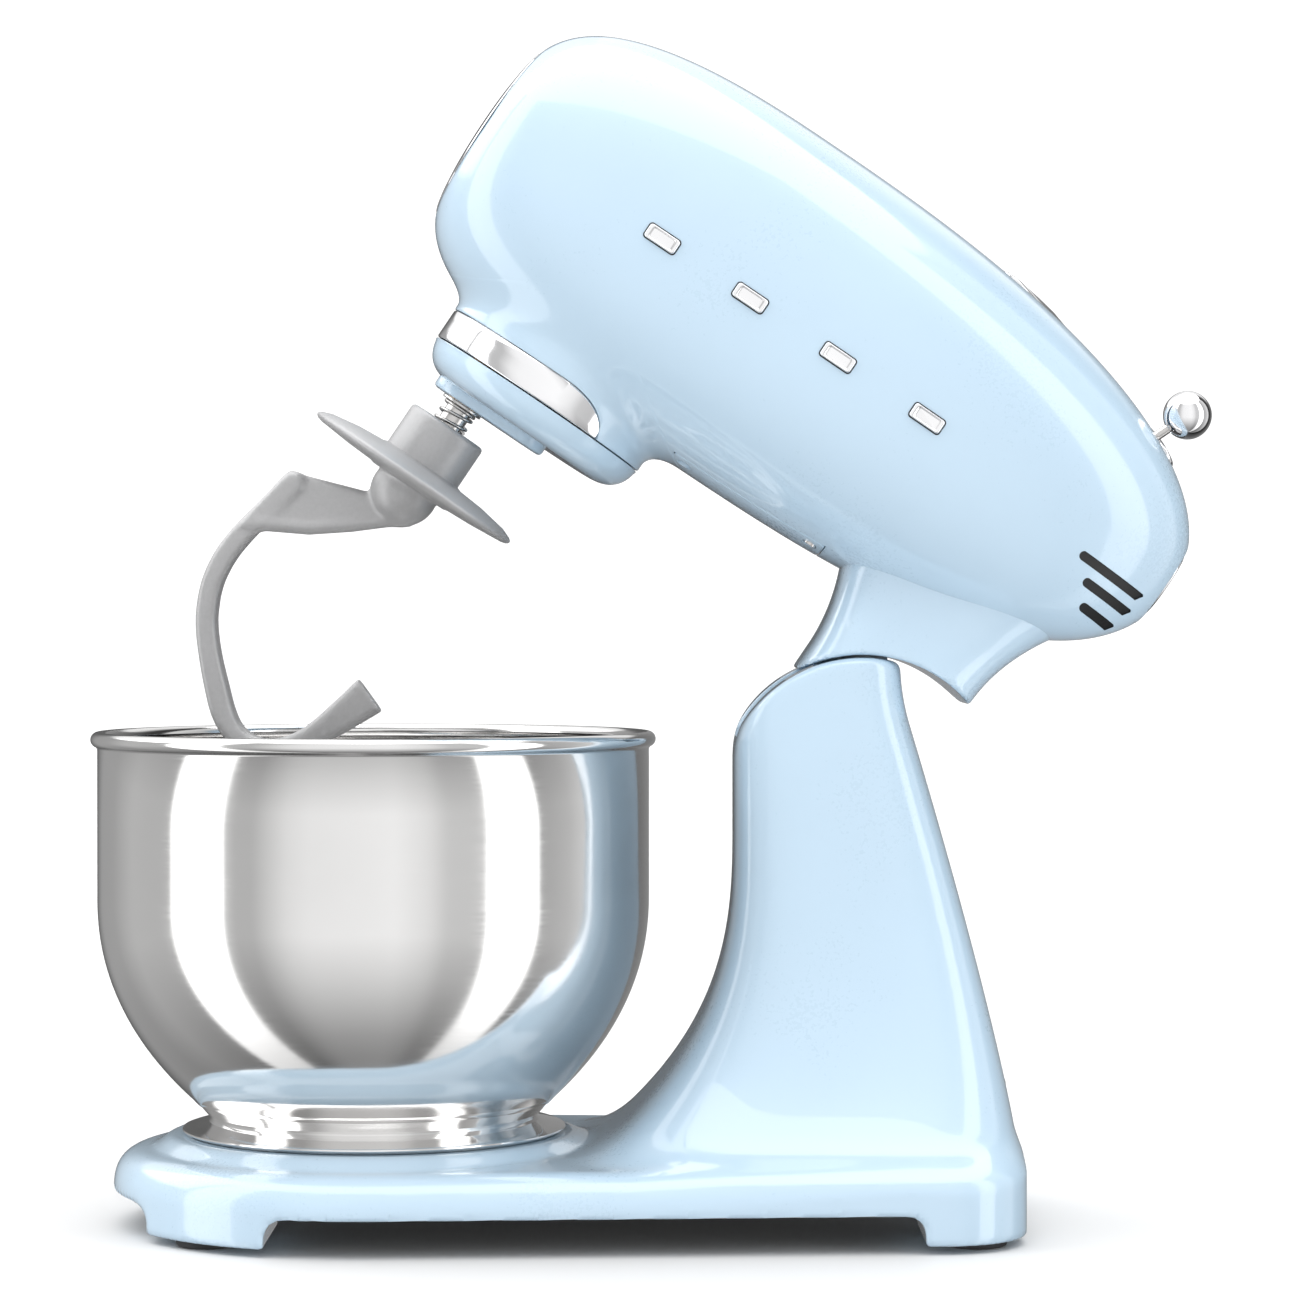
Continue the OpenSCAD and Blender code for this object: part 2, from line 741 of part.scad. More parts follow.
// Middle line of the hook's arm, in X and Z, from the web down round to its tip, and half of
// its width there in that plane and across it
hook_path = [[-178.4, 151, 4.4, 6], [-181, 138, 4.3, 6.2], [-184.2, 124.5, 4.4, 6.4], [-185.6, 111.5, 4.4, 6.6],
    [-184.2, 99.4, 4.3, 6.8], [-180.3, 89.2, 4.3, 7], [-175.4, 81.2, 4.3, 7.2], [-167.6, 72.2, 4.4, 7.4],
    [-158.8, 63.6, 4.7, 7.6], [-150.6, 56.4, 4.7, 7.8], [-143, 52.4, 4.3, 8], [-134.6, 51.6, 4.2, 8],
    [-126.6, 54.4, 4.3, 7.8], [-119.8, 60.4, 4.6, 7.2], [-113.9, 70, 5.1, 6.4], [-108.6, 83.5, 6.6, 5.6],
    [-104, 96.75, 8.2, 5]];

function path_dir(i, n) =
    let (a = hook_path[max(0, i - 1)], b = hook_path[min(n, i + 1)], e = [b[0] - a[0], b[1] - a[1]]) e / norm(e);

module hook_arm() {
    n = len(hook_path) - 1;
    loft([for (i = [0:n]) let (d = path_dir(i, n), c = hook_path[i], sway = 10 * sin(180 * i / n))
        [for (k = [7:-1:0]) let (t = 45 * k + 22.5, u = super(cos(t), 4) * c[2], v = super(sin(t), 4) * c[3])
            [c[0] - d[1] * u, v + sway, c[1] + d[0] * u]]]);
}

module dough_hook() {
    color("#a6a8aa") raised() difference() {
        union() {
            translate([shaft_x, 0, 177]) cylinder(r = hook_r, h = hook_top_z - 177);
            translate([shaft_x, 0, 173.5]) sphere(r = 14);
            upright(-5, 5) polygon([[-183.4, 149], [-182.1, 154.4], [-151.3, 165.3], [-132, 166], [-130, 163.4],
                [-134.6, 160.2], [-147.9, 148.1], [-162, 137.3], [-179.8, 127.2], [-186.4, 125]]);
            hook_arm();
        }
        translate([shaft_x, 0, 180.5]) cylinder(r = beater_r + run_gap, h = 40);
        // slot for the drive pin: down from the top, then round to where it locks
        translate([shaft_x, 0, 0]) block([-2.3, -10.5, pin_z - 2.3], [2.3, 10.5, 210]);
        translate([shaft_x, 0, pin_z - 2.3]) for (a = [90, 270])
            rotate([0, 0, a]) rotate_extrude(angle = 30) square([10.5, 4.6]);
    }
}

module hook_guard() {
    color("#a6a8aa") raised() translate([shaft_x, 0, 0]) rotate_extrude($fn = 96)
        polygon([[hook_r + 0.02, 186.6], [30, 185.6], [42, 183.6], [47, 181.4], [47.35, 180.6], [47, 179.8],
            [44, 178.6], [30, 177.4], [hook_r + 0.02, 177]]);
}

module main_shaft() {
    color(steel) raised() along_x(head_front_x + 26.1, 0, main_z) difference() {
        union() {
            cylinder(r = 7.5, h = 6.4);
            cylinder(r = main_r, h = 107.8);
        }
        // square socket that turns an attachment
        translate([-4.1, -4.1, -1]) cube([8.2, 8.2, 6.4]);
    }
}

module main_gear() {
    color("#d9d2c0") raised() along_x(-67, 0, main_z) linear_extrude(8.5) difference() {
        rotate(180 / main_teeth)
            polygon(gear_outline(main_teeth, main_pitch_r, spur_add, spur_ded, tooth_fill));
        circle(r = main_r + 0.01);
    }
}

// ---- motor

motor_z = main_z + motor_rise;
motor_front_x = -54;
stator_front_x = -46;
stator_back_x = 8;
motor_back_x = 16;
rotor_r = 20;

module motor_frames() {
    color("#a9acb0") raised() {
        for (x = [motor_front_x, motor_back_x - 4])
            along_x(x, 0, motor_z) difference() {
                cylinder(r = stator_r, h = 4);
                translate([0, 0, -1]) cylinder(r = 8.01, h = 6);
                for (a = [45:90:315])
                    rotate([0, 0, a]) translate([22, 0, -1]) cylinder(r = 6, h = 6);
            }
        // posts between the two end frames, outside the coils, and the saddles below
        for (a = [45, 315])
            along_x(motor_front_x + 3.9, 0, motor_z) rotate([0, 0, a]) translate([33.5, 0, 0])
                cylinder(r = 2.5, h = motor_back_x - motor_front_x - 7.8);
        for (x = [motor_front_x, motor_back_x - 4])
            difference() {
                block([x, -20, seat_z + 3], [x + 4, 20, 312]);
                along_x(x - 1, 0, motor_z) cylinder(r = stator_r - 1, h = 6);
            }
    }
}

module stator_core() {
    color("#6d6f72") raised() along_x(stator_front_x, 0, motor_z)
        linear_extrude(stator_back_x - stator_front_x) difference() {
            circle(r = 31);
            circle(r = rotor_r + 0.6);
            for (a = [0, 180])
                rotate(a) translate([14, -9]) square([11.5, 18]);
        }
}

module field_coils() {
    color("#b87333") raised() for (a = [0, 180])
        along_x(stator_front_x - 4, 0, motor_z) rotate([0, 0, a]) intersection() {
            tube(25.4, rotor_r + 0.9, stator_back_x - stator_front_x + 8);
            block([14.2, -8.6, -1], [25.2, 8.6, 80]);
        }
}

module brush_holders() {
    color("#3a2f28") raised() both_sides() {
        block([motor_back_x - 8, 10.4, motor_z - 3], [motor_back_x - 4.1, 22, motor_z + 3]);
    }
}

module motor_bearings() {
    color(steel) raised() for (x = [motor_front_x, motor_back_x - 4])
        along_x(x, 0, motor_z) tube(8, 3 + run_gap, 4);
}

module rotor_shaft() {
    color(steel) raised() along_x(-67, 0, motor_z) cylinder(r = 3, h = motor_back_x + 67 + 1);
}

module rotor_core() {
    color("#8a5a3a") raised() along_x(stator_front_x + 1, 0, motor_z) difference() {
        cylinder(r = rotor_r, h = 46);
        translate([0, 0, -1]) cylinder(r = 3.01, h = 60);
        for (a = [0:30:330])
            rotate([0, 0, a]) translate([rotor_r - 2.5, -1, -1]) cube([4, 2, 60]);
    }
}

module commutator() {
    color("#b87333") raised() along_x(motor_back_x - 13.5, 0, motor_z) tube(10, 3.01, 9);
}

module motor_fan() {
    color(dark) raised() along_x(motor_front_x + 4.4, 0, motor_z) {
        tube(8, 3.01, 3.2);
        for (a = [0:40:320])
            rotate([0, 0, a]) translate([7.5, -0.6, 0]) cube([10, 1.2, 3]);
    }
}

module motor_pinion() {
    color("#d9d2c0") raised() along_x(-67, 0, motor_z) linear_extrude(8.5) difference() {
        polygon(gear_outline(motor_teeth, motor_pitch_r, spur_add, spur_ded, tooth_fill));
        circle(r = 3.01);
    }
}

module chassis() {
    color("#9a9da1") raised() difference() {
        union() {
            block([-68.8, -34, seat_z], [70, 34, seat_z + 3]);
            block([60, -19, seat_z], [112, 19, seat_z + 3]);
            block([109, -19, seat_z], [112, 19, button_z + 9]);
        }
        along_x(100, rod_y, button_z) cylinder(r = 2.5 + run_gap, h = 20);
        block([bolt_x - 5, bolt_y[0] - 2, seat_z - 1], [bolt_x + 5, bolt_y[1] + 2, seat_z + 4]);
        block([motor_front_x + 12, -16, seat_z - 1], [motor_back_x - 12, 16, seat_z + 4]);
    }
    // posts that take the belly cover's screws
    color("#9a9da1") raised() for (p = cover_screw_places())
        translate([p[0], p[1], 252.6]) tube(4, 1.61, seat_z - 252.5);
    // ears for the latch crank's pin
    color("#9a9da1") raised() difference() {
        both_ears() upright(0, 2) {
            translate([crank_x, crank_z]) circle(r = 5);
            translate([crank_x - 5, seat_z + 3]) square([10, crank_z - seat_z - 3]);
        }
        translate([crank_x, 0, crank_z]) upright(0, 30) circle(r = crank_pin_r + run_gap);
    }
}

module both_ears() {
    translate([0, 7.4, 0]) children();
    translate([0, 15.6, 0]) children();
}

module control_board() {
    color("#2f6b45") raised() {
        block([-46, -17, 260], [20, 17, 261.6]);
        block([-44, -15, 261.6], [-26, 0, 272]);
        block([-8, 3, 261.6], [6, 15, 270]);
        translate([-18, -9, 261.6]) cylinder(r = 5, h = 13);
        for (x = [-42, 16], y = [-13, 13])
            translate([x, y, 261.6]) cylinder(r = 2.5, h = seat_z - 261.6);
    }
}

// ---- speed lever: a carriage that slides on a sloping rail under the head's top

rail_drop = 45;
rail_r = 2.5;
rail_slope = 18;
carriage_half = 6;
rail_over = 14;

// Children drawn with the carriage at the origin and the rail along X
module at_carriage() {
    translate([knob_x - rail_drop * sin(lever_lean), 0, knob_z - rail_drop * cos(lever_lean)])
        rotate([0, rail_slope, 0]) children();
}

module lever_rail() {
    length = lever_travel + 2 * rail_over;
    color("#9a9da1") raised() {
        at_carriage() along_x(-lever_travel - rail_over, 0, 0) cylinder(r = rail_r, h = length);
        for (end = [[101.5, 104.5, 338], [25.5, 28.5, 362]])
            difference() {
                block([end[0], -6, seat_z + 3], [end[1], 6, end[2]]);
                at_carriage() along_x(-100, 0, 0) cylinder(r = rail_r - 0.01, h = 200);
            }
        for (x = [94.6, 25.6])
            block([x, -6, seat_z + 3], [x + 9.8, 6, seat_z + 5]);
    }
}

module lever_stem() {
    color(steel) raised() at_carriage() difference() {
        union() {
            block([-carriage_half, -6, -5], [carriage_half, 6, 5]);
            rotate([0, lever_lean - rail_slope, 0]) cylinder(r = 2, h = rail_drop - knob_r + 2);
        }
        along_x(-20, 0, 0) cylinder(r = rail_r + run_gap, h = 40);
    }
}

module lever_knob() {
    color("#dddddd") raised() translate([knob_x, 0, knob_z]) rotate([0, lever_lean, 0]) difference() {
        sphere(r = knob_r);
        translate([0, 0, -20]) cylinder(r = 2.01, h = 12.02);
    }
}

// ---- head lock

crank_x = 36;
crank_z = 290;
crank_arm = 26;
crank_reach = 20;
crank_pin_r = 2;
rod_y = 12.5;

module release_button() {
    color("#dddddd") raised() {
        along_x(button_x, 0, button_z) rotate_extrude($fn = 96)
            polygon([[0, 0], [button_r + 1.2, 0], [button_r + 1.2, 2], [button_r, 2], [button_r, 11.1],
                [14.6, 11.5], [10, 11.65], [0, 11.7]]);
        along_x(crank_x + 4.3, rod_y, button_z) cylinder(r = 2.5, h = button_x - crank_x - 4.2);
    }
}

module button_spring() {
    color(steel) raised() along_x(112.2, rod_y, button_z) coil(4.4, 0.6, 5, 16.6);
}

module latch_crank() {
    color(steel) raised() difference() {
        upright(bolt_y[0], bolt_y[1]) {
            translate([crank_x, crank_z]) circle(r = 5.5);
            translate([crank_x - 3, crank_z]) square([6, crank_arm]);
            translate([crank_x, crank_z + crank_arm]) circle(r = 4);
            translate([crank_x, crank_z - 3.5]) square([crank_reach + 3, 7]);
        }
        // open slot that carries the pin of the lock bolt
        upright(0, 30) translate([crank_x + crank_reach - 2.6, crank_z - 1.8]) square([10, 3.6]);
        block([crank_x + 12, bolt_y[0] + 1.6, 280], [crank_x + 40, bolt_y[1] - 1.6, 300]);
    }
    color(steel) raised() translate([crank_x, 0, crank_z]) upright(7.6, 17.4) circle(r = crank_pin_r);
}

module lock_bolt() {
    color(steel) raised() {
        block([bolt_x - 3, bolt_y[0] + 2, 205], [bolt_x + 3, bolt_y[1] - 2, crank_z + 3]);
        block([bolt_x - 3, bolt_y[0] + 0.2, 205], [bolt_x + 3, bolt_y[1] - 0.2, 272]);
        translate([bolt_x, 0, crank_z]) upright(bolt_y[0], bolt_y[1]) circle(r = 1.5);
    }
}

// ---- bowl

// Outline of the bowl's wall, from the foot of the wall to the straight part, on the sheet's
// outer face (side = 0) or its inner face (side = 1)
function wall_curve(side) = [for (i = [0:12])
    bezier([bowl_r, 132], [bowl_r, 100], [98, 70], [66, 44], 1 - i / 12) + side * bowl_t * [-0.8, 0.6]];

module bowl_section(solid) {
    outer = concat([[0, 43]], [[60, 43]], wall_curve(0), [[bowl_r, bowl_top_z - rim_r]]);
    inner = concat([[bowl_r - bowl_t, bowl_top_z - rim_r]], [for (i = [12:-1:0]) wall_curve(1)[i]],
        [[60, 43 + bowl_t]], [[0, 43 + bowl_t]]);
    polygon(concat(outer, solid ? [[0, bowl_top_z - rim_r]] : inner));
}

module bowl() {
    color("#c4c6c8") translate([hub_x, 0, 0]) {
        rotate_extrude($fn = 128) bowl_section(false);
        translate([0, 0, bowl_top_z - rim_r]) rotate_extrude($fn = 128)
            translate([bowl_r - 0.2, 0]) circle(r = rim_r, $fn = 32);
    }
}

module bowl_foot() {
    color("#c4c6c8") translate([hub_x, 0, 0]) {
        difference() {
            rotate_extrude($fn = 128)
                polygon([[75.2, 50.8], [72.4, 48.7], [71.8, 48.3], [67.4, 42.4], [68.4, 41.2], [78, 39],
                    [78.2, 38.6], [78.2, boss_z + 0.2], [63, boss_z + 0.2], [63, 50.8]]);
            rotate_extrude($fn = 128) bowl_section(true);
        }
        lugs(57, 63.5, boss_z + 1.7, boss_z + 2.9, 24, 60);
    }
}

stand_body();
base_plate();
base_screws();
rubber_feet();
bowl_plate();
bowl_plate_screws();
pivot_pin();
lock_plate();
cord_inlet();
neck();
pivot_bushes();
head_shell();
belly_cover();
cover_screws();
chrome_band();
ring_gear();
gear_case();
central_bearings();
main_bearings();
outlet_socket();
cover_hinge();
chassis();
motor_frames();
stator_core();
field_coils();
brush_holders();
motor_bearings();
control_board();
speed_plate();
lever_rail();
side_trim();
vent_grilles();
button_spring();
planet_housing();
central_shaft();
bevel_gear();
shaft_bushes();
beater_shaft();
planet_pinion();
drive_pin();
shaft_spring();
shaft_washer();
dough_hook();
hook_guard();
main_shaft();
bevel_pinion();
main_gear();
rotor_shaft();
rotor_core();
commutator();
motor_fan();
motor_pinion();
lever_stem();
lever_knob();
release_button();
latch_crank();
lock_bolt();
hub_cover();
bowl();
bowl_foot();
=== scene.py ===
"""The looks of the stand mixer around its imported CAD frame. Lengths here are millimetres.

Pieces of the head are drawn with the head level, then raised about the hinge as the frame is.
"""

import json
import math

import bmesh
import bpy
import numpy as np
from mathutils import Matrix, Vector


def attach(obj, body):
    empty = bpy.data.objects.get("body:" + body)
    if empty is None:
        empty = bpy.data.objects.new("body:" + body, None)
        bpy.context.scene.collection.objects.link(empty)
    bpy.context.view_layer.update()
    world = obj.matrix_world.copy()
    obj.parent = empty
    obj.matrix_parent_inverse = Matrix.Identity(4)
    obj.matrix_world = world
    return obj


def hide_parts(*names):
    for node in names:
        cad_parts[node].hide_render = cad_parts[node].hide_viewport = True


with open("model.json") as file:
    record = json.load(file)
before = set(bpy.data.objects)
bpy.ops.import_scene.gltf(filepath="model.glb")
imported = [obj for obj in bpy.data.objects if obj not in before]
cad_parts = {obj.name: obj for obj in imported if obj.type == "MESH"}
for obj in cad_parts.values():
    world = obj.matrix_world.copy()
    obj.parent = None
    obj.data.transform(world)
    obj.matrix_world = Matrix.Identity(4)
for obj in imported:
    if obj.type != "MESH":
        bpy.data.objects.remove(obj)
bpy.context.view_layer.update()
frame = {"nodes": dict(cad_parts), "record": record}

MM = 0.001
HUB_X, SHAFT_X = -114.0, -139.0
PIVOT_X, PIVOT_Z = 84.0, 175.0
MID_Z, CREST_X = 317.0, -75.0
# the head's flat ends, and where its curves would run on to
NOSE_X, TAIL_X, FRONT_X, BACK_X = -191.4, 139.7, -195.2, 143.5
# the head's reach above, below and to each side of its middle line
UP, DOWN, WIDE = 71.65, 72.6, 68.0
# the collar's outer radius, and the height of its lower edge
COLLAR_R, COLLAR_LOW = 49.5, 234.0
# middles of the bars, the round front cover and the rear button
TRIM_X, TRIM_Z, COVER_Z, BUTTON_Z = (-105.8, -64.2, -22.6, 19.9), 313, 315, 316
# the bowl's outer radius
BOWL_R = 112.6
SCALE = Matrix.Scale(MM, 4)
RAISED = (
    Matrix.Translation((PIVOT_X, 0, PIVOT_Z))
    @ Matrix.Rotation(math.radians(34), 4, "Y")
    @ Matrix.Translation((-PIVOT_X, 0, -PIVOT_Z))
)


# ---- materials


def look(name, colour, metal, rough, vary=0.04, fleck=0.03, grain=400.0, bump=0.02, **more):
    """A material whose colour, gloss and fine relief all vary. more: stretch of the grain along
    X, Y and Z, coat, aniso, broad scale, spec."""
    m = bpy.data.materials.new(name)
    m.use_nodes = True
    n, link = m.node_tree.nodes, m.node_tree.links
    shader = n["Principled BSDF"]
    shader.inputs["Metallic"].default_value = metal
    if "coat" in more:
        shader.inputs["Coat Weight"].default_value = more["coat"]
        shader.inputs["Coat Roughness"].default_value = 0.01
    if "spec" in more:
        shader.inputs["Specular IOR Level"].default_value = more["spec"]
    where = n.new("ShaderNodeTexCoord")
    mapping = n.new("ShaderNodeMapping")
    mapping.inputs["Scale"].default_value = more.get("stretch", (1, 1, 1))
    link.new(where.outputs["Object"], mapping.inputs["Vector"])
    fine = n.new("ShaderNodeTexNoise")
    fine.inputs["Scale"].default_value = grain
    fine.inputs["Detail"].default_value = 5
    fine.inputs["Roughness"].default_value = 0.6
    link.new(mapping.outputs["Vector"], fine.inputs["Vector"])
    broad = n.new("ShaderNodeTexNoise")
    broad.inputs["Scale"].default_value = more.get("broad", 16.0)
    broad.inputs["Detail"].default_value = 3
    link.new(where.outputs["Object"], broad.inputs["Vector"])
    tint = n.new("ShaderNodeValToRGB")
    for k, (at, f) in enumerate(((0.3, 1 - fleck), (0.7, 1 + fleck))):
        tint.color_ramp.elements[k].position = at
        tint.color_ramp.elements[k].color = [min(1, c * f) for c in colour] + [1]
    link.new((broad if fleck < 0.05 else fine).outputs["Fac"], tint.inputs["Fac"])
    link.new(tint.outputs["Color"], shader.inputs["Base Color"])
    both = n.new("ShaderNodeMath")
    both.operation = "MULTIPLY"
    link.new(fine.outputs["Fac"], both.inputs[0])
    link.new(broad.outputs["Fac"], both.inputs[1])
    gloss = n.new("ShaderNodeMapRange")
    gloss.inputs["From Min"].default_value = 0.15
    gloss.inputs["From Max"].default_value = 0.35
    gloss.inputs["To Min"].default_value = max(0.01, rough - vary)
    gloss.inputs["To Max"].default_value = rough + vary
    link.new(both.outputs["Value"], gloss.inputs["Value"])
    link.new(gloss.outputs["Result"], shader.inputs["Roughness"])
    relief = n.new("ShaderNodeBump")
    relief.inputs["Strength"].default_value = bump
    relief.inputs["Distance"].default_value = 0.0004
    link.new(fine.outputs["Fac"], relief.inputs["Height"])
    link.new(relief.outputs["Normal"], shader.inputs["Normal"])
    if "aniso" in more:
        shader.inputs["Anisotropic"].default_value = more["aniso"]
        turning = n.new("ShaderNodeTangent")
        turning.direction_type = "RADIAL"
        turning.axis = "Z"
        link.new(turning.outputs["Tangent"], shader.inputs["Tangent"])
    return m


RINGS = (2.0, 2.0, 60.0)
LOOKS = {
    "paint": look("pastel_paint", (0.445, 0.585, 0.705), 0, 0.3, 0.03, 0.01, 700, 0.004, coat=1.0),
    "chrome": look("chrome", (0.83, 0.83, 0.84), 1, 0.06, 0.02, 0.02, 260, 0.004),
    "bowl_steel": look(
        "satin_steel", (0.72, 0.715, 0.71), 1, 0.1, 0.03, 0.03, 26, 0.012, stretch=RINGS, aniso=0.4
    ),
    "foot_steel": look(
        "polished_steel", (0.78, 0.775, 0.77), 1, 0.09, 0.03, 0.02, 26, 0.012, stretch=RINGS
    ),
    "coated_metal": look("grey_coating", (0.385, 0.385, 0.39), 0.3, 0.42, 0.06, 0.05, 520, 0.1, spec=0.5),
    "steel": look("machined_steel", (0.56, 0.55, 0.54), 1, 0.26, 0.06, 0.05, 600, 0.03),
    "cast_aluminium": look("cast_aluminium", (0.5, 0.505, 0.51), 1, 0.45, 0.08, 0.06, 480, 0.14),
    "bronze": look("bronze", (0.55, 0.36, 0.16), 1, 0.34, 0.06, 0.06, 500, 0.05),
    "copper": look("copper_wire", (0.66, 0.32, 0.17), 1, 0.28, 0.05, 0.1, 900, 0.1),
    "laminations": look(
        "laminated_iron", (0.2, 0.2, 0.21), 1, 0.42, 0.06, 0.08, 50, 0.3, stretch=(40, 1, 40)
    ),
    "rubber": look("rubber", (0.022, 0.022, 0.024), 0, 0.68, 0.08, 0.08, 900, 0.12),
    "black_plastic": look("black_plastic", (0.012, 0.012, 0.013), 0, 0.5, 0.07, 0.08, 800, 0.08),
    "circuit_board": look("circuit_board", (0.03, 0.16, 0.07), 0, 0.34, 0.07, 0.12, 300, 0.05),
    "nylon": look("nylon", (0.75, 0.7, 0.58), 0, 0.45, 0.05, 0.04, 500, 0.04),
}
SLOT_OF = {s["node"]: s["material_slot"] for s in frame["record"]["subparts"]}
for node, slot_name in SLOT_OF.items():
    ob = frame["nodes"][node]
    ob.data.materials.clear()
    ob.data.materials.append(LOOKS[slot_name])
    ob.data.shade_smooth()
    ob.data.set_sharp_from_angle(angle=math.radians(30))


# ---- building pieces


def mesh_of(name, shape):
    """A mesh from (points, faces), with doubled points merged and its normals outward."""
    points, faces = shape
    me = bpy.data.meshes.new(name)
    me.from_pydata([tuple(map(float, p)) for p in points], [], [tuple(map(int, f)) for f in faces])
    bm = bmesh.new()
    bm.from_mesh(me)
    bmesh.ops.remove_doubles(bm, verts=bm.verts, dist=1e-4)
    bmesh.ops.recalc_face_normals(bm, faces=bm.faces)
    bm.to_mesh(me)
    bm.free()
    return me


def piece(name, shape, body, nodes, slot_name, raised=False, sharp=35):
    """One visible piece from (points, faces), standing for CAD nodes and riding on a body."""
    me = mesh_of(name, shape)
    me.transform(SCALE @ RAISED if raised else SCALE)
    me.shade_smooth()
    me.set_sharp_from_angle(angle=math.radians(sharp))
    ob = bpy.data.objects.new(name, me)
    bpy.context.scene.collection.objects.link(ob)
    me.materials.append(LOOKS[slot_name])
    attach(ob, body)
    if nodes:
        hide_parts(*nodes)
    return ob


def join(*shapes):
    points, faces = [], []
    for p, f in shapes:
        base = len(points)
        points += [tuple(q) for q in p]
        faces += [tuple(base + k for k in g) for g in f]
    return points, faces


def moved(shape, matrix):
    points, faces = shape
    return [tuple(matrix @ Vector(p)) for p in points], faces


def mirrored(shape):
    points, faces = shape
    return [(p[0], -p[1], p[2]) for p in points], [tuple(reversed(f)) for f in faces]


def grid(rows, closed_u=False, closed_v=True, caps=True):
    """Quads over rows of points. v runs along a row, u from row to row."""
    nu, nv = len(rows), len(rows[0])
    points = [p for r in rows for p in r]
    faces = []
    for i in range(nu if closed_u else nu - 1):
        for j in range(nv if closed_v else nv - 1):
            a, b = (i + 1) % nu, (j + 1) % nv
            faces.append((i * nv + j, i * nv + b, a * nv + b, a * nv + j))
    if caps and closed_v and not closed_u:
        faces += [tuple(range(nv))[::-1], tuple(range((nu - 1) * nv, nu * nv))]
    return points, faces


def rounded(outline, r=0.5, closed=True, steps=4):
    """The outline with every corner turned into a small arc. A point may carry its own radius."""
    out, n = [], len(outline)
    for i, p in enumerate(outline):
        if not closed and i in (0, n - 1):
            out.append(tuple(p[:2]))
            continue
        c = np.array(p[:2], float)
        a, b = np.array(outline[i - 1][:2], float), np.array(outline[(i + 1) % n][:2], float)
        la, lb = np.linalg.norm(a - c), np.linalg.norm(b - c)
        want = p[2] if len(p) > 2 else r
        t = min(want, 0.45 * la, 0.45 * lb)
        if t < 1e-4:
            out.append(tuple(c))
            continue
        pa, pb = c + (a - c) / la * t, c + (b - c) / lb * t
        for k in range(steps + 1):
            s = k / steps
            out.append(tuple((1 - s) ** 2 * pa + 2 * s * (1 - s) * c + s * s * pb))
    return out


def lathe(profile, x=0.0, z=0.0, sides=128, axis="z", y=0.0):
    """A closed or pole-ended profile of (radius, height) turned about an upright axis, or about X
    with the heights along it."""
    rows = []
    for k in range(sides):
        a = 2 * math.pi * k / sides
        row = []
        for r, h in profile:
            u, v = r * math.cos(a), r * math.sin(a)
            row.append((x + u, y + v, z + h) if axis == "z" else (x + h, y + u, z + v))
        rows.append(row)
    poles = profile[0][0] == 0 and profile[-1][0] == 0
    return grid(rows, closed_u=True, closed_v=not poles, caps=False)


def prism(outline, low, high, axis="y", edge=0.4):
    """An outline given thickness, with its long edges rounded by edge. Along y the outline is
    (x, z); along z it is (x, y)."""
    pts = np.array([p[:2] for p in outline], float)
    nxt, prv = np.roll(pts, -1, 0), np.roll(pts, 1, 0)
    d = nxt - prv
    length = np.maximum(np.linalg.norm(d, axis=1), 1e-9)
    normal = np.stack([d[:, 1], -d[:, 0]], 1) / length[:, None]
    area = 0.5 * np.sum(pts[:, 0] * nxt[:, 1] - nxt[:, 0] * pts[:, 1])
    if area < 0:
        normal = -normal
    rows = []
    for h, inset in (
        (low, edge),
        (low + 0.3 * edge, 0.3 * edge),
        (low + edge, 0),
        (high - edge, 0),
        (high - 0.3 * edge, 0.3 * edge),
        (high, edge),
    ):
        q = pts - normal * inset
        rows.append([(a, h, b) if axis == "y" else (a, b, h) for a, b in q])
    return grid(rows)


def ellipse_power(c, n):
    return np.sign(c) * np.abs(c) ** (2 / n)


# ---- implicit surfaces for the castings, which flow into each other


def smooth_min(a, b, k):
    h = np.clip(0.5 + 0.5 * (b - a) / k, 0, 1)
    return b * (1 - h) + a * h - k * h * (1 - h)


def smooth_max(a, b, k):
    return -smooth_min(-a, -b, k)


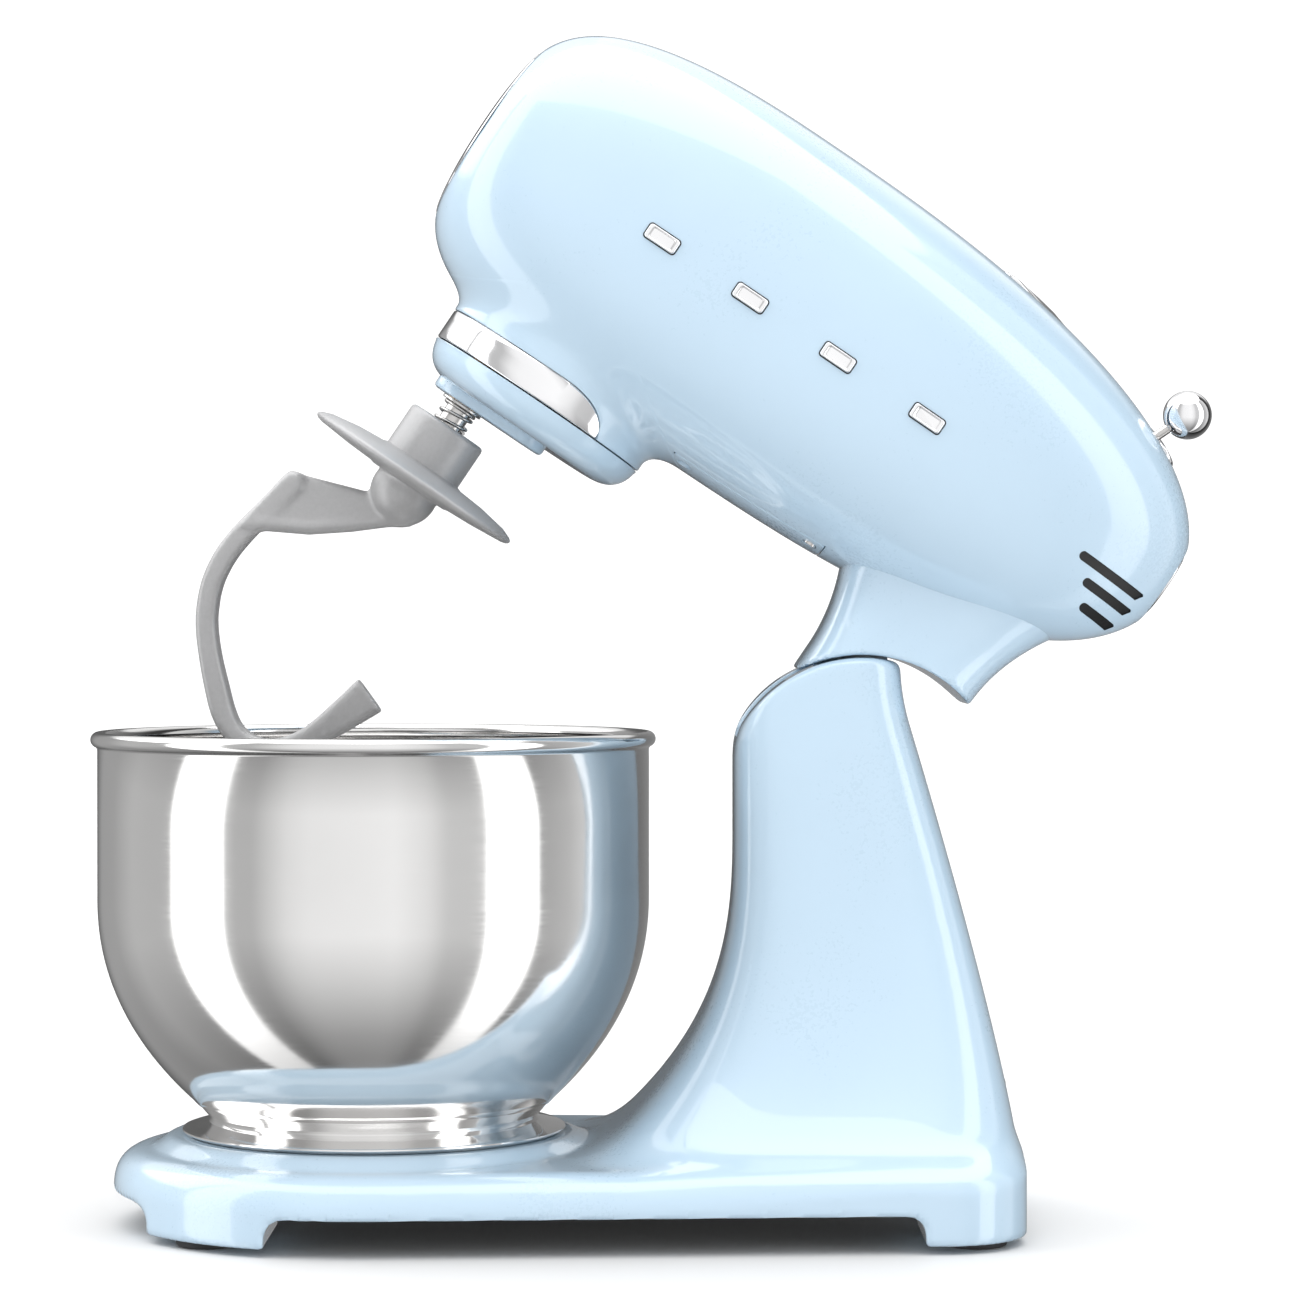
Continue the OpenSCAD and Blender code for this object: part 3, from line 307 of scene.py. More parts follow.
def surface(field, low, high, step):
    """Quads on field = 0 inside the box, by surface nets, with the points moved onto the surface."""
    axes = [np.arange(low[i], high[i] + step, step) for i in range(3)]
    x, y, z = np.meshgrid(*axes, indexing="ij")
    v = field(x, y, z)
    inside = v < 0
    cells = np.zeros(tuple(s - 1 for s in v.shape), int)
    for i in (0, 1):
        for j in (0, 1):
            for k in (0, 1):
                cells += inside[
                    i : i + cells.shape[0], j : j + cells.shape[1], k : k + cells.shape[2]
                ]
    live = (cells > 0) & (cells < 8)
    index = np.full(live.shape, -1)
    index[live] = np.arange(live.sum())
    at = np.argwhere(live)
    points = np.stack([axes[i][at[:, i]] + step / 2 for i in range(3)], 1)
    for _ in range(8):
        f = field(*points.T)
        g = np.stack(
            [
                field(*(points + e).T) - field(*(points - e).T)
                for e in np.eye(3) * 0.05
            ],
            1,
        ) / 0.1
        slope = np.maximum((g * g).sum(1), 0.05)
        move = -(f / slope)[:, None] * g
        size = np.linalg.norm(move, axis=1, keepdims=True)
        points = points + move * np.minimum(1, 0.6 * step / np.maximum(size, 1e-9))
    faces = []
    for axis in range(3):
        a, b = [q for q in range(3) if q != axis]
        shape = list(inside.shape)
        shape[axis] -= 1
        lo = [slice(1, -1)] * 3
        lo[axis] = slice(0, -1)
        hi = [slice(1, -1)] * 3
        hi[axis] = slice(1, None)
        here, there = inside[tuple(lo)], inside[tuple(hi)]
        cross = np.argwhere(here != there)
        base = cross.copy()
        for q in range(3):
            if q != axis:
                base[:, q] += 1
        ring = []
        for da, db in ((-1, -1), (0, -1), (0, 0), (-1, 0)):
            c = base.copy()
            c[:, a] += da
            c[:, b] += db
            ring.append(index[tuple(c.T)])
        quad = np.stack(ring, 1)
        solid = here[tuple(cross.T)]
        flip = solid if axis == 1 else ~solid
        quad[flip] = quad[flip][:, ::-1]
        faces.append(quad)
    faces = np.concatenate(faces)
    faces = faces[(faces >= 0).all(1)]
    return points, faces


def polygon_distance(x, z, corners):
    """Signed distance to a polygon, negative inside."""
    best = np.full(np.shape(x), 1e9)
    inside = np.zeros(np.shape(x), bool)
    for i in range(len(corners)):
        ax, az = corners[i - 1]
        bx, bz = corners[i]
        t = np.clip(((x - ax) * (bx - ax) + (z - az) * (bz - az)) / ((bx - ax) ** 2 + (bz - az) ** 2), 0, 1)
        best = np.minimum(best, np.hypot(x - ax - t * (bx - ax), z - az - t * (bz - az)))
        if az != bz:
            crossing = ((az > z) != (bz > z)) & (x < (bx - ax) * (z - az) / (bz - az) + ax)
            inside ^= crossing
    return np.where(inside, -best, best)


def lean(r, a):
    return PIVOT_X + r * math.sin(math.radians(a)), PIVOT_Z + r * math.cos(math.radians(a))


# ---- stand


def plan(x, y):
    """Signed distance to the base's outline."""
    y = np.abs(y)
    along = (x - HUB_X) * 0.99807 - y * 0.06214
    front = np.hypot(x - HUB_X, y) - 106
    side = (x - HUB_X) * 0.06214 + y * 0.99807 - 106
    corner = np.hypot(x - 113, y - 57) - 35
    back = x - 148
    d = np.where(along < 0, front, np.maximum(side, back))
    return np.where((x > 113) & (y > 57), np.maximum(corner, d), d)


def column_front(z):
    return 33 - 52 * (np.maximum(0, 160 - z) / 124) ** 2.7


def column_back(z):
    return smooth_max(100.5, 147 - 41 * (np.maximum(0, z - 34) / 164) ** 1.2, 4)


def column_side(z):
    return 46 + 34 * (np.clip(228 - z, 0, 200) / 191) ** 4


SLOT = [lean(19.5, -112), lean(70, -60), (97.5, 255), (97.5, 232), (100, 206), (103.2, 178)]


def stand_field(x, y, z):
    d = plan(x, y)
    reach = np.hypot(x - HUB_X, y)
    crown = 31.4 + 1.4 * np.clip(-d / 45, 0, 1)
    t = np.clip((92 - reach) / 11, 0, 1)
    top = crown + (36.8 - crown) * t * t * (3 - 2 * t)
    base = smooth_max(d, z - top, 15)
    f, b, w = column_front(z), column_back(z), column_side(z)
    half = (b - f) / 2
    r = (np.abs((x - f - half) / half) ** 4.5 + np.abs(y / w) ** 4.5) ** (1 / 4.5)
    column = (r - 1) * np.minimum(half, w)
    rise = np.maximum(z - PIVOT_Z, 0)
    cap = np.hypot(x - PIVOT_X, rise) - 56 - 4 * np.maximum(PIVOT_Z - z, 0)
    column = smooth_max(column, cap, 3.5)
    column = np.maximum(column, 20 - z)
    body = smooth_min(base, column, 13)
    body = np.maximum(body, d)
    # the arch between the feet, and the hollow under the base
    zone = np.maximum(40 - np.abs(y), np.minimum(np.abs(x + 175) - 25, 106 - x))
    arch = smooth_max(z - 15, -zone, 9)
    body = smooth_max(body, -arch, 1.6)
    hollow = np.maximum(np.maximum(z - 24.5, d + 9), 5 - zone)
    body = smooth_max(body, -hollow, 1.2)
    body = smooth_max(body, 3.2 - z, 2)
    slot = np.maximum(
        np.abs(y) - 17,
        np.minimum(polygon_distance(x, z, SLOT), np.hypot(x - PIVOT_X, z - PIVOT_Z) - 19.5),
    )
    body = smooth_max(body, -slot, 1.6)
    # the pocket for the cord inlet
    reach = np.hypot(y, z - 48)
    pocket = np.minimum(np.maximum(reach - 11.4, 141.9 - x), np.maximum(reach - 8, 118 - x))
    return smooth_max(body, -pocket, 1)


STEP = 1.8
piece(
    "stand_casting",
    surface(stand_field, (-223, -109, 0), (151, 109, 235), STEP),
    "stand",
    ["stand_body"],
    "paint",
    sharp=60,
)

foot = [(0, 0.6), (8, 0.6), (8.6, 0), (11.4, 0), (12.3, 0.5), (12.5, 1.2), (12.5, 3.4), (0, 3.4)]
feet = join(*[lathe(rounded(foot, 0.3, False), x, 0, 48, y=s * 66) for x in (-175, 127) for s in (-1, 1)])
piece("foot_pads", feet, "stand", ["rubber_feet"], "rubber")

inlet = [(4.2, 126), (8, 126), (8, 142), (11, 142), (10.8, 143.4), (9.9, 144.6), (4.2, 144.6)]
piece(
    "inlet_grommet",
    lathe(rounded(inlet, 0.5), 0, 48, 64, "x"),
    "stand",
    ["cord_inlet"],
    "rubber",
)
plate = [(0, 36.8), (56, 36.8), (56, 41.2), (55.4, 41.6), (54, 41.6), (54, 38.2), (0, 38.2)]
plate_shape = [lathe(rounded(plate, 0.3, False), HUB_X, 0, 96)]
for a in (0, 120, 240):
    rows = []
    for k in range(13):
        t = math.radians(a - 15 + 30 * k / 12)
        ring = rounded([(55.5, 40.1), (61.5, 40.1), (61.5, 41.6), (55.5, 41.6)], 0.3)
        rows.append([(HUB_X + r * math.cos(t), r * math.sin(t), h) for r, h in ring])
    plate_shape.append(grid(rows))
piece("bowl_lock_ring", join(*plate_shape), "stand", ["bowl_plate"], "foot_steel")


# ---- neck


def head_half(x, inset=0.0):
    """Height above and below the head's widest line, and half-width, at x."""
    front = x < CREST_X
    ahead, behind = CREST_X - FRONT_X - inset, BACK_X - inset - CREST_X
    w = np.clip(np.where(front, (CREST_X - x) / ahead, (x - CREST_X) / behind), 0, 1)
    top = (UP - inset) * np.maximum(1 - w**2.5, 0) ** np.where(front, 1 / 4, 1 / 2.2)
    bulge = np.maximum(1 - w ** np.where(front, 2.5, 3.2), 0)
    low = (DOWN - inset) * bulge ** np.where(front, 1 / 4.6, 1 / 2.2)
    side = (WIDE - inset) * np.maximum(1 - w**2.5, 0) ** np.where(front, 1 / 4.75, 1 / 2.2)
    return top, low, side


def head_field(x, y, z):
    top, low, side = head_half(x)
    up = z > MID_Z
    h = np.maximum(np.where(up, top, low), 1)
    n = np.where(up, 2.3, 2.6)
    r = (np.abs(y / np.maximum(side, 1)) ** n + np.abs((z - MID_Z) / h) ** n) ** (1 / n)
    return (r - 1) * np.minimum(h, np.maximum(side, 1)) * 0.95


def neck_field(x, y, z):
    f = 33.5 - 20 * (np.maximum(0, z - 215) / 55) ** 2
    b = 100.5 + 22 * (np.maximum(0, z - 228) / 55) ** 2
    half = (b - f) / 2
    n = 4.5 - 1.9 * np.clip((z - 228) / 48, 0, 1)
    t = np.clip((z - 204) / 50, 0, 1)
    side = 46 - 11 * t * t * (3 - 2 * t)
    r = (np.abs((x - f - half) / half) ** n + np.abs(y / side) ** n) ** (1 / n)
    body = (r - 1) * 0.95 * side
    body = smooth_max(body, 57 - np.hypot(x - PIVOT_X, z - PIVOT_Z), 2.2)
    body = np.maximum(body, 200 - z)
    # it ends just inside the head's wall
    return np.maximum(body, -1.6 - head_field(x, y, z))


neck_shape = surface(neck_field, (0, -50, 198), (128, 50, 300), 1.35)
arm = rounded(
    [lean(18, a) for a in range(252, 30, -12)] + [lean(62, -24), lean(64, -40), lean(60, -52)],
    0.8,
)
arm_shape = prism(arm, -16.5, 7.5, edge=1.2)
piece("neck_casting", join(neck_shape, arm_shape), "head", ["neck"], "paint", True, 50)


# ---- head


def head_shape(inset, stations, sides, nose_r=0.0, tail_r=0.0):
    """The head's outside, or the same made smaller by inset, with its flat ends' edges rounded."""
    rows = []
    front, back = (FRONT_X + inset, NOSE_X + inset), (BACK_X - inset, TAIL_X - inset)
    for end, flat, r in ((*front, nose_r), (*back, tail_r)):
        way = 1 if end > 0 else -1
        last = ((flat - way * r - CREST_X) / (end - CREST_X)) ** 1.25
        count = stations if way < 0 else int(stations * 1.4)
        w = np.sin(np.linspace(0, 1, count) * math.asin(last)) ** 0.8
        part = [(CREST_X + (end - CREST_X) * v, 0.0) for v in w]
        if r:
            turn = np.linspace(0, math.pi / 2, 9)[1:]
            part += [(flat - way * r * (1 - math.sin(t)), r * (1 - math.cos(t))) for t in turn]
        rows += part[::-1][:-1] if way < 0 else part
    rings = []
    for x, less in rows:
        top, low, side = (float(v) - less for v in head_half(np.array(x), inset))
        t = (np.arange(sides) + 0.5) * 2 * math.pi / sides
        # even steps along the outline
        t = t - 0.16 * np.sin(4 * t) / 2
        n = np.where(np.sin(t) > 0, 2.3, 2.6)
        y = side * ellipse_power(np.cos(t), n)
        z = MID_Z + np.where(np.sin(t) > 0, top, low) * ellipse_power(np.sin(t), n)
        rings.append([(float(x), float(a), float(b)) for a, b in zip(y, z)])
    return grid(rings)


def cutter(shape):
    ob = bpy.data.objects.new("cutter", mesh_of("cutter", shape))
    bpy.context.scene.collection.objects.link(ob)
    return ob


def cut(shape, *tools):
    """The shape with each tool taken away in turn."""
    ob = cutter(shape)
    made = [cutter(t) for t in tools]
    for t in made:
        mod = ob.modifiers.new("cut", "BOOLEAN")
        mod.operation = "DIFFERENCE"
        mod.solver = "EXACT"
        mod.object = t
    done = ob.evaluated_get(bpy.context.evaluated_depsgraph_get()).to_mesh()
    result = (
        [tuple(v.co) for v in done.vertices],
        [tuple(f.vertices) for f in done.polygons],
    )
    for t in [ob, *made]:
        bpy.data.objects.remove(t)
    return result


def box_shape(low, high):
    (a, b, c), (d, e, f) = low, high
    return grid([[(a, b, z), (d, b, z), (d, e, z), (a, e, z)] for z in (c, f)])


def vent_outline(x0, x1, z, h=1.95):
    """A slot with a round front end and a slanted back end, rounded a little."""
    turn = [math.radians(a) for a in range(-90, 91, 15)]
    arc = [(x0 + h - h * math.cos(a), z + h * math.sin(a)) for a in turn]
    return arc + [(x1 - 0.4, z + h), (x1 + 0.2, z + h - 0.7), (x1 - 2.0, z - h)]


VENTS = ((101, 133.5, 304.2), (108.5, 133, 296.4), (113.5, 131, 287.8))
vent_tools = [prism(vent_outline(*v), s * 46 - 34, s * 46 + 34, edge=0.01) for v in VENTS for s in (-1, 1)]
outer, inner = head_shape(0, 56, 144, 1.8, 0.6), head_shape(3.6, 40, 96)
inner = (inner[0], [tuple(reversed(f)) for f in inner[1]])
neck_seat = box_shape((39.7, -27.3, 230), (92.3, 27.3, 288))
belly_hole = prism([(-56, -30), (16, -30), (16, 30), (-56, 30)], 230, 262, "z", 0.01)
mouth = lathe([(0, -200), (24.02, -200), (24.02, -180), (0, -180)], 0, MID_Z, 96, "x")
button_hole = lathe([(0, 120), (15.35, 120), (15.35, 160), (0, 160)], 0, BUTTON_Z, 96, "x")
lever_gap = box_shape((40, -3.5, 345), (108, 3.5, 400))
collar_room = lathe([(0, 230), (46, 230), (46, 266), (0, 266)], HUB_X, 0, 96)
# mesh_of turns the inner wall's normals outward, so the cut drops it: the shell comes out solid,
# with the openings as blind pockets
shell = cut(
    join(outer, inner), neck_seat, belly_hole, mouth, button_hole, lever_gap, collar_room, join(*vent_tools)
)


def underside(x, y):
    """Height of the head's underside."""
    low, side = head_half(x)[1:]
    return MID_Z - low * np.maximum(1 - (np.abs(y) / np.maximum(side, 1)) ** 2.6, 0.001) ** (1 / 2.6)


def collar_edge(x):
    """Lower edge of the painted collar: it drops over the end of the chrome band."""
    s = np.clip((x + 108) / 23.5, 0, 1)
    return COLLAR_LOW + 13 * (1 - s**2.3) ** (1 / 2.3)


def collar_shape():
    """The painted collar, which flows out into the head's underside."""
    rows = []
    for k in range(288):
        a = 2 * math.pi * k / 288
        c, s = math.cos(a), math.sin(a)
        low = float(collar_edge(HUB_X + COLLAR_R * c))
        drop, width = 6.0 + 1.5 * c, 12.0 + 2 * c
        wall_top = float(underside(np.array(HUB_X + COLLAR_R * c), np.array(COLLAR_R * s))) - drop
        row = [(46, low + 16), (46, low + 0.5), (46.3, low), (48.9, low), (49.3, low + 0.15)]
        row += [(COLLAR_R, low + 0.6 + (wall_top - low - 0.6) * t) for t in (0, 0.33, 0.67)]
        for j in range(15):
            t = math.radians(90 * j / 14)
            r = COLLAR_R + width * (1 - math.cos(t))
            h = float(underside(np.array(HUB_X + r * c), np.array(r * s)))
            row.append((r, h - drop * (1 - math.sin(t)) ** 1.15 - 0.02))
        r = COLLAR_R + 1 + width
        row.append((r, float(underside(np.array(HUB_X + r * c), np.array(r * s))) + 0.5))
        rows.append([(HUB_X + r * c, r * s, h) for r, h in row])
    return grid(rows, closed_u=True, closed_v=False, caps=False)


piece("head_casing", join(shell, collar_shape()), "head", ["head_shell"], "paint", True, 35)


def on_head(x, y, out, upper=True):
    """A point over the head's surface: above (x, y) for the top, or out sideways for a side (x, z)."""
    top, low, side = (float(v) for v in head_half(np.array(float(x))))
    if upper:
        return x, y, MID_Z + top * max(1 - abs(y / side) ** 2.3, 0) ** (1 / 2.3) + out
    n, h = (2.3, top) if y > MID_Z else (2.6, low)
    return x, side * max(1 - abs((y - MID_Z) / h) ** n, 0) ** (1 / n) + out, y


def pad(outline, steps, upper, hole=None):
    """A thin trim piece that lies on the head, with rounded edges. steps: (share of the way in
    from the outline to the middle or the hole, height)."""
    pts = np.array(outline, float)
    middle = np.array(hole, float) if hole else np.repeat(pts.mean(0)[None], len(pts), 0)
    rows = []
    for share, out in steps:
        q = pts * (1 - share) + middle * share
        rows.append([on_head(a, b, out, upper) for a, b in q])
    return grid(rows, caps=False)


def slab(cx, cy, hx, hy, r, n=6):
    """A rounded rectangle of 4 * (n + 1) points, starting at its right side's lower corner."""
    out = []
    for k, (sx, sy) in enumerate(((1, 1), (-1, 1), (-1, -1), (1, -1))):
        for j in range(n + 1):
            a = math.radians(90 * k + 90 * j / n)
            out.append((cx + sx * (hx - r) + r * math.cos(a), cy + sy * (hy - r) + r * math.sin(a)))
    return out


# chrome bars with a raised rim, each on a thin black pad a little wider than the bar, which paints a shadow
# line around its edge
shadow_line_steps = [(0, -0.6), (0, 0.15), (0.02, 0.25), (1, 0.25)]
bar_steps = [(0, -0.6), (0, 0.8), (0.04, 1.2), (0.1, 1.3), (0.2, 1.25)]
bar_steps += [(0.27, 0.95), (0.32, 0.75), (0.4, 0.7), (1, 0.7)]
bars, shadow_lines = [], []
for x in TRIM_X:
    shadow_line = pad(slab(x, TRIM_Z, 7.5, 3.5, 1.6), shadow_line_steps, False)
    shadow_lines += [shadow_line, mirrored(shadow_line)]
    bar = pad(slab(x, TRIM_Z, 7, 3, 1.2), bar_steps, False)
    bars += [bar, mirrored(bar)]
piece("side_bars", join(*bars), "head", ["side_trim"], "chrome", True, 50)
# the black pads under the bars are painted shadow: a dark line where only shade falls
piece("bar_shadow_lines", join(*shadow_lines), "head", [], "black_plastic", True)

steps = [(0, -0.8), (0, 0.6), (0.04, 1.1), (0.1, 1.3), (0.5, 1.32), (0.86, 1.3)]
steps += [(0.95, 1.1), (1, 0.6), (1, -1.5)]
strip = pad(slab(65, 0, 50.8, 8.8, 6, 10), steps, True, hole=slab(74, 0, 33, 2.6, 2.55, 10))
piece("speed_strip", strip, "head", ["speed_plate"], "chrome", True, 40)

# across a grille: share of its half height, and depth below its face
across = ((-1, 0), (0, 0), (1, 0), (1, 2.2), (-1, 2.2))
grilles = []
for x0, x1, z in VENTS:
    h, rows = 1.9, []
    round_end = x0 + h - h * np.cos(np.linspace(0.3, 1.57, 6))
    for x in np.concatenate([round_end, np.linspace(x0 + h + 1, x1, 22)]):
        reach = x - x0 - h
        half = math.sqrt(h * h - reach * reach) if reach < 0 else h
        row = [on_head(x, z + v * half, -1.2 - dip, False) for v, dip in across]
        rows.append([(q[0], max(q[1], 4), q[2]) for q in row])
    grille = grid(rows)
    grilles += [grille, mirrored(grille)]
piece("vent_inserts", join(*grilles), "head", ["vent_grilles"], "black_plastic", True)


def cover_patch():
    """The cover under the head, lying on its surface with a rounded edge."""
    rows = []
    inset = ((0, 3), (0, 0.25), (0.012, 0.06), (0.03, 0), (0.25, 0), (0.5, 0), (0.75, 0), (1, 0))
    outline = slab(-20, 0, 35.6, 29.6, 2, 8)
    dense = []
    for i, p in enumerate(outline):
        q = outline[(i + 1) % len(outline)]
        m = max(1, int(math.hypot(q[0] - p[0], q[1] - p[1]) / 2.5))
        dense += [(p[0] + (q[0] - p[0]) * k / m, p[1] + (q[1] - p[1]) * k / m) for k in range(m)]
    for share, up in inset:
        rows.append(
            [
                (x, y, float(underside(np.array(x), np.array(y))) + up)
                for x, y in ((a + (-20 - a) * share, b * (1 - share)) for a, b in dense)
            ]
        )
    return grid(rows, caps=False)


screw_wells = [
    lathe([(0, 240), (3.3, 240), (3.3, 249), (0, 249)], x, 0, 32, y=y) for x in (-50, 10) for y in (-22, 22)
]
belly = cut(cover_patch(), join(*screw_wells))
piece("belly_panel", belly, "head", ["belly_cover"], "paint", True)

band_rows = []
for k in range(241):
    a = math.radians(54.2 + (360 - 108.4) * k / 240)
    x = HUB_X + COLLAR_R * math.cos(a)
    high = float(collar_edge(x)) - 0.35
    low = COLLAR_LOW + 0.15
    if high - low < 0.8:
        continue
    ring = [(47.7, low), (48.9, low), (49.15, low + 0.2), (49.25, low + 0.5)]
    ring += [(49.25, low + 0.5 + (high - low - 1) * t) for t in (0.33, 0.67, 1)]
    ring += [(48.9, high), (47.7, high)]
    band_rows.append([(HUB_X + r * math.cos(a), r * math.sin(a), h) for r, h in ring])
piece("collar_band", grid(band_rows), "head", ["chrome_band"], "chrome", True)

disc = [(0, 0), (14, 0.1), (24, 0.45), (31, 1), (36, 1.75), (38.4, 2.3), (39.2, 2.6), (39.4, 2.8)]
disc += [(39.4, 3), (39.2, 3.1), (0, 3.1)]
piece("outlet_cover", lathe(disc, -194.6, COVER_Z, 160, "x"), "hub_cover", ["hub_cover"], "chrome", True)

cap = [(0, 129), (16.2, 129), (16.2, 131), (15, 131), (15, 139.8), (14.9, 140.2), (14.6, 140.45)]
cap += [(14, 140.6), (10, 140.66), (0, 140.7)]
rod = [(0, 40.3), (2.5, 40.3), (2.5, 129.2), (0, 129.2)]
rod = lathe(rounded(rod, 0.3, False), 0, BUTTON_Z, 32, "x", 12.5)
piece(
    "lock_button",
    join(lathe(rounded(cap, 0.3, False), 0, BUTTON_Z, 128, "x"), rod),
    "release_button",
    ["release_button"],
    "chrome",
    True,
)

LEVER = Matrix.Translation((109.5, 0, 379)) @ Matrix.Rotation(math.radians(22), 4, "Y")
ball = [(9.97 * math.sin(t), -9.97 * math.cos(t)) for t in np.linspace(0.25, math.pi, 40)]
ball = [(0, -9.2), (2.3, -9.2)] + ball[:-1] + [(0, 9.97)]
piece("lever_ball", moved(lathe(ball, sides=96), LEVER), "speed_lever", ["lever_knob"], "chrome", True)


# ---- collar's turning part, beater shaft


# outline of the turning part, with its lower edge rounded over 16 mm
skirt = [(0, 220.6)]
for d in np.linspace(-16, 16, 33):
    h = 0.5 + d / 32
    over = d * h + 16 * h * (1 - h)
    if 220.6 + over < 232.6:
        skirt.append((49.2 + d - over, 220.6 + over))
skirt += [(49.2, 233.2), (48.9, 233.5), (46.2, 233.5), (46.2, 227), (45.4, 225.5), (0, 225.5)]
# outline of the boss between the middle and the beater shaft
far_side = np.linspace(1.511, 2 * math.pi - 1.511, 49)
boss = [(SHAFT_X + 14.5 * math.cos(t), 14.5 * math.sin(t)) for t in far_side]
boss += [(HUB_X + 13 * math.cos(t), 13 * math.sin(t)) for t in np.linspace(-1.511, 1.511, 33)]
bore = lathe([(0, 210), (5.95, 210), (5.95, 240), (0, 240)], SHAFT_X, 0, 64)
skirt_shape = join(
    cut(lathe(skirt, HUB_X, 0, 160), bore), cut(prism(boss, 216.6, 224, "z", 1.5), bore)
)
piece("collar_skirt", skirt_shape, "planetary", ["planet_housing"], "paint", True, 40)

shaft = [(0, 181), (4.6, 181), (5.5, 182), (5.5, 188), (5.5, 205), (5.5, 249), (0, 249)]
axle = lathe(rounded(shaft, 0.3, False), SHAFT_X, 0, 64)
piece("beater_axle", axle, "beater", ["beater_shaft"], "steel", True)
ring = rounded([(5.8, 215.2), (9, 215.2), (9, 216.4), (5.8, 216.4)], 0.3)
piece("axle_washer", lathe(ring, SHAFT_X, 0, 64), "beater", ["shaft_washer"], "steel", True)


def spring(x, radius, wire, turns, low, high):
    """An upright round wire spring with flattened end turns."""
    rows, n = [], int(turns * 40)
    for j in range(n + 1):
        u = j / n
        t = min(max((u * turns - 0.6) / (turns - 1.2), 0), 1)
        a, h = 2 * math.pi * turns * u, low + wire + (high - low - 2 * wire) * t
        row = []
        for i in range(12):
            b = -2 * math.pi * i / 12
            r, v = radius + wire * math.cos(b), h + wire * math.sin(b)
            row.append((x + r * math.cos(a), r * math.sin(a), v))
        rows.append(row)
    return grid(rows)


coil = spring(SHAFT_X, 6.8, 0.7, 3.1, 206.2, 215.1)
piece("axle_spring", coil, "beater", ["shaft_spring"], "steel", True)


# ---- dough hook

# the arm's middle line (x, z), and half of its width in that plane and across it
HOOK_PATH = [(-178.4, 151, 4.4, 6), (-181, 138, 4.3, 6.2), (-184.2, 124.5, 4.4, 6.4)]
HOOK_PATH += [(-185.6, 111.5, 4.4, 6.6), (-184.2, 99.4, 4.3, 6.8), (-180.3, 89.2, 4.3, 7)]
HOOK_PATH += [(-175.4, 81.2, 4.3, 7.2), (-167.6, 72.2, 4.4, 7.4), (-158.8, 63.6, 4.7, 7.6)]
HOOK_PATH += [(-150.6, 56.4, 4.7, 7.8), (-143, 52.4, 4.3, 8), (-134.6, 51.6, 4.2, 8)]
HOOK_PATH += [(-126.6, 54.4, 4.3, 7.8), (-119.8, 60.4, 4.6, 7.2), (-113.9, 70, 5.1, 6.4)]
HOOK_PATH += [(-108.6, 83.5, 6.6, 5.6), (-104, 96.75, 8.2, 5)]


def spline(points, count):
    """A smooth curve through the points, in even steps of the parameter."""
    n = len(points)
    out = []
    for k in range(count):
        u = k * (n - 1) / (count - 1)
        i = min(int(u), n - 2)
        t = u - i
        p = [points[min(max(i + d, 0), n - 1)] for d in (-1, 0, 1, 2)]
        out.append(
            0.5
            * (
                2 * p[1]
                + (p[2] - p[0]) * t
                + (2 * p[0] - 5 * p[1] + 4 * p[2] - p[3]) * t * t
                + (3 * p[1] - p[0] - 3 * p[2] + p[3]) * t**3
            )
        )
    return np.array(out)


# the flat web between hub and arm, and the bead along its lower edge
WEB = [(-183.4, 149), (-182.1, 154.4), (-151.3, 165.3), (-132, 166), (-130, 163.4), (-134.6, 160.2)]
WEB += [(-147.9, 148.1), (-162, 137.3), (-179.8, 127.2), (-186.4, 125)]
BEAD = [(-134.5, 163.6), (-149.2, 151), (-163.2, 140), (-181, 130.2)]
CURVE = spline(np.array(HOOK_PATH), 80)


def nearest(x, z, line):
    """Distance to a line of straight pieces, and how far along it that is, from 0 to 1."""
    n = len(line) - 1
    near, along = np.full(np.shape(x), 1e3), np.zeros(np.shape(x))
    for i in range(n):
        (ax, az), d = line[i][:2], np.array(line[i + 1][:2]) - np.array(line[i][:2])
        t = np.clip(((x - ax) * d[0] + (z - az) * d[1]) / (d @ d), 0, 1)
        off = np.hypot(x - ax - t * d[0], z - az - t * d[1])
        along = np.where(off < near, (i + t) / n, along)
        near = np.minimum(off, near)
    return near, along


def hook_field(x, y, z):
    hub = np.hypot(x - SHAFT_X, y) - 17.2
    hub = smooth_max(smooth_max(hub, z - 206, 2.0), 177 - z, 1)
    dome = np.sqrt((x - SHAFT_X) ** 2 + y**2 + (z - 173.5) ** 2) - 14
    web = smooth_max(polygon_distance(x, z, WEB), np.abs(y) - 4, 3)
    bead = np.hypot(nearest(x, z, BEAD)[0], y * 0.6) - 2.9
    near, along = nearest(x, z, CURVE)
    steps = np.linspace(0, 1, len(CURVE))
    across, wide = np.interp(along, steps, CURVE[:, 2]), np.interp(along, steps, CURVE[:, 3])
    arm = smooth_max(near - across, np.abs(y - 10 * np.sin(math.pi * along)) - wide, 3.2)
    end = (x - CURVE[-1][0]) * 0.347 + (z - CURVE[-1][1]) * 0.938
    arm = smooth_max(arm, np.where(along > 0.8, end, -9), 1.2)
    body = smooth_min(smooth_min(hub, dome, 2), smooth_min(web, bead, 1.5), 2.5)
    body = smooth_min(body, arm, 2.5)
    return np.maximum(body, np.where(z > 180.5, 5.62 - np.hypot(x - SHAFT_X, y), -9))


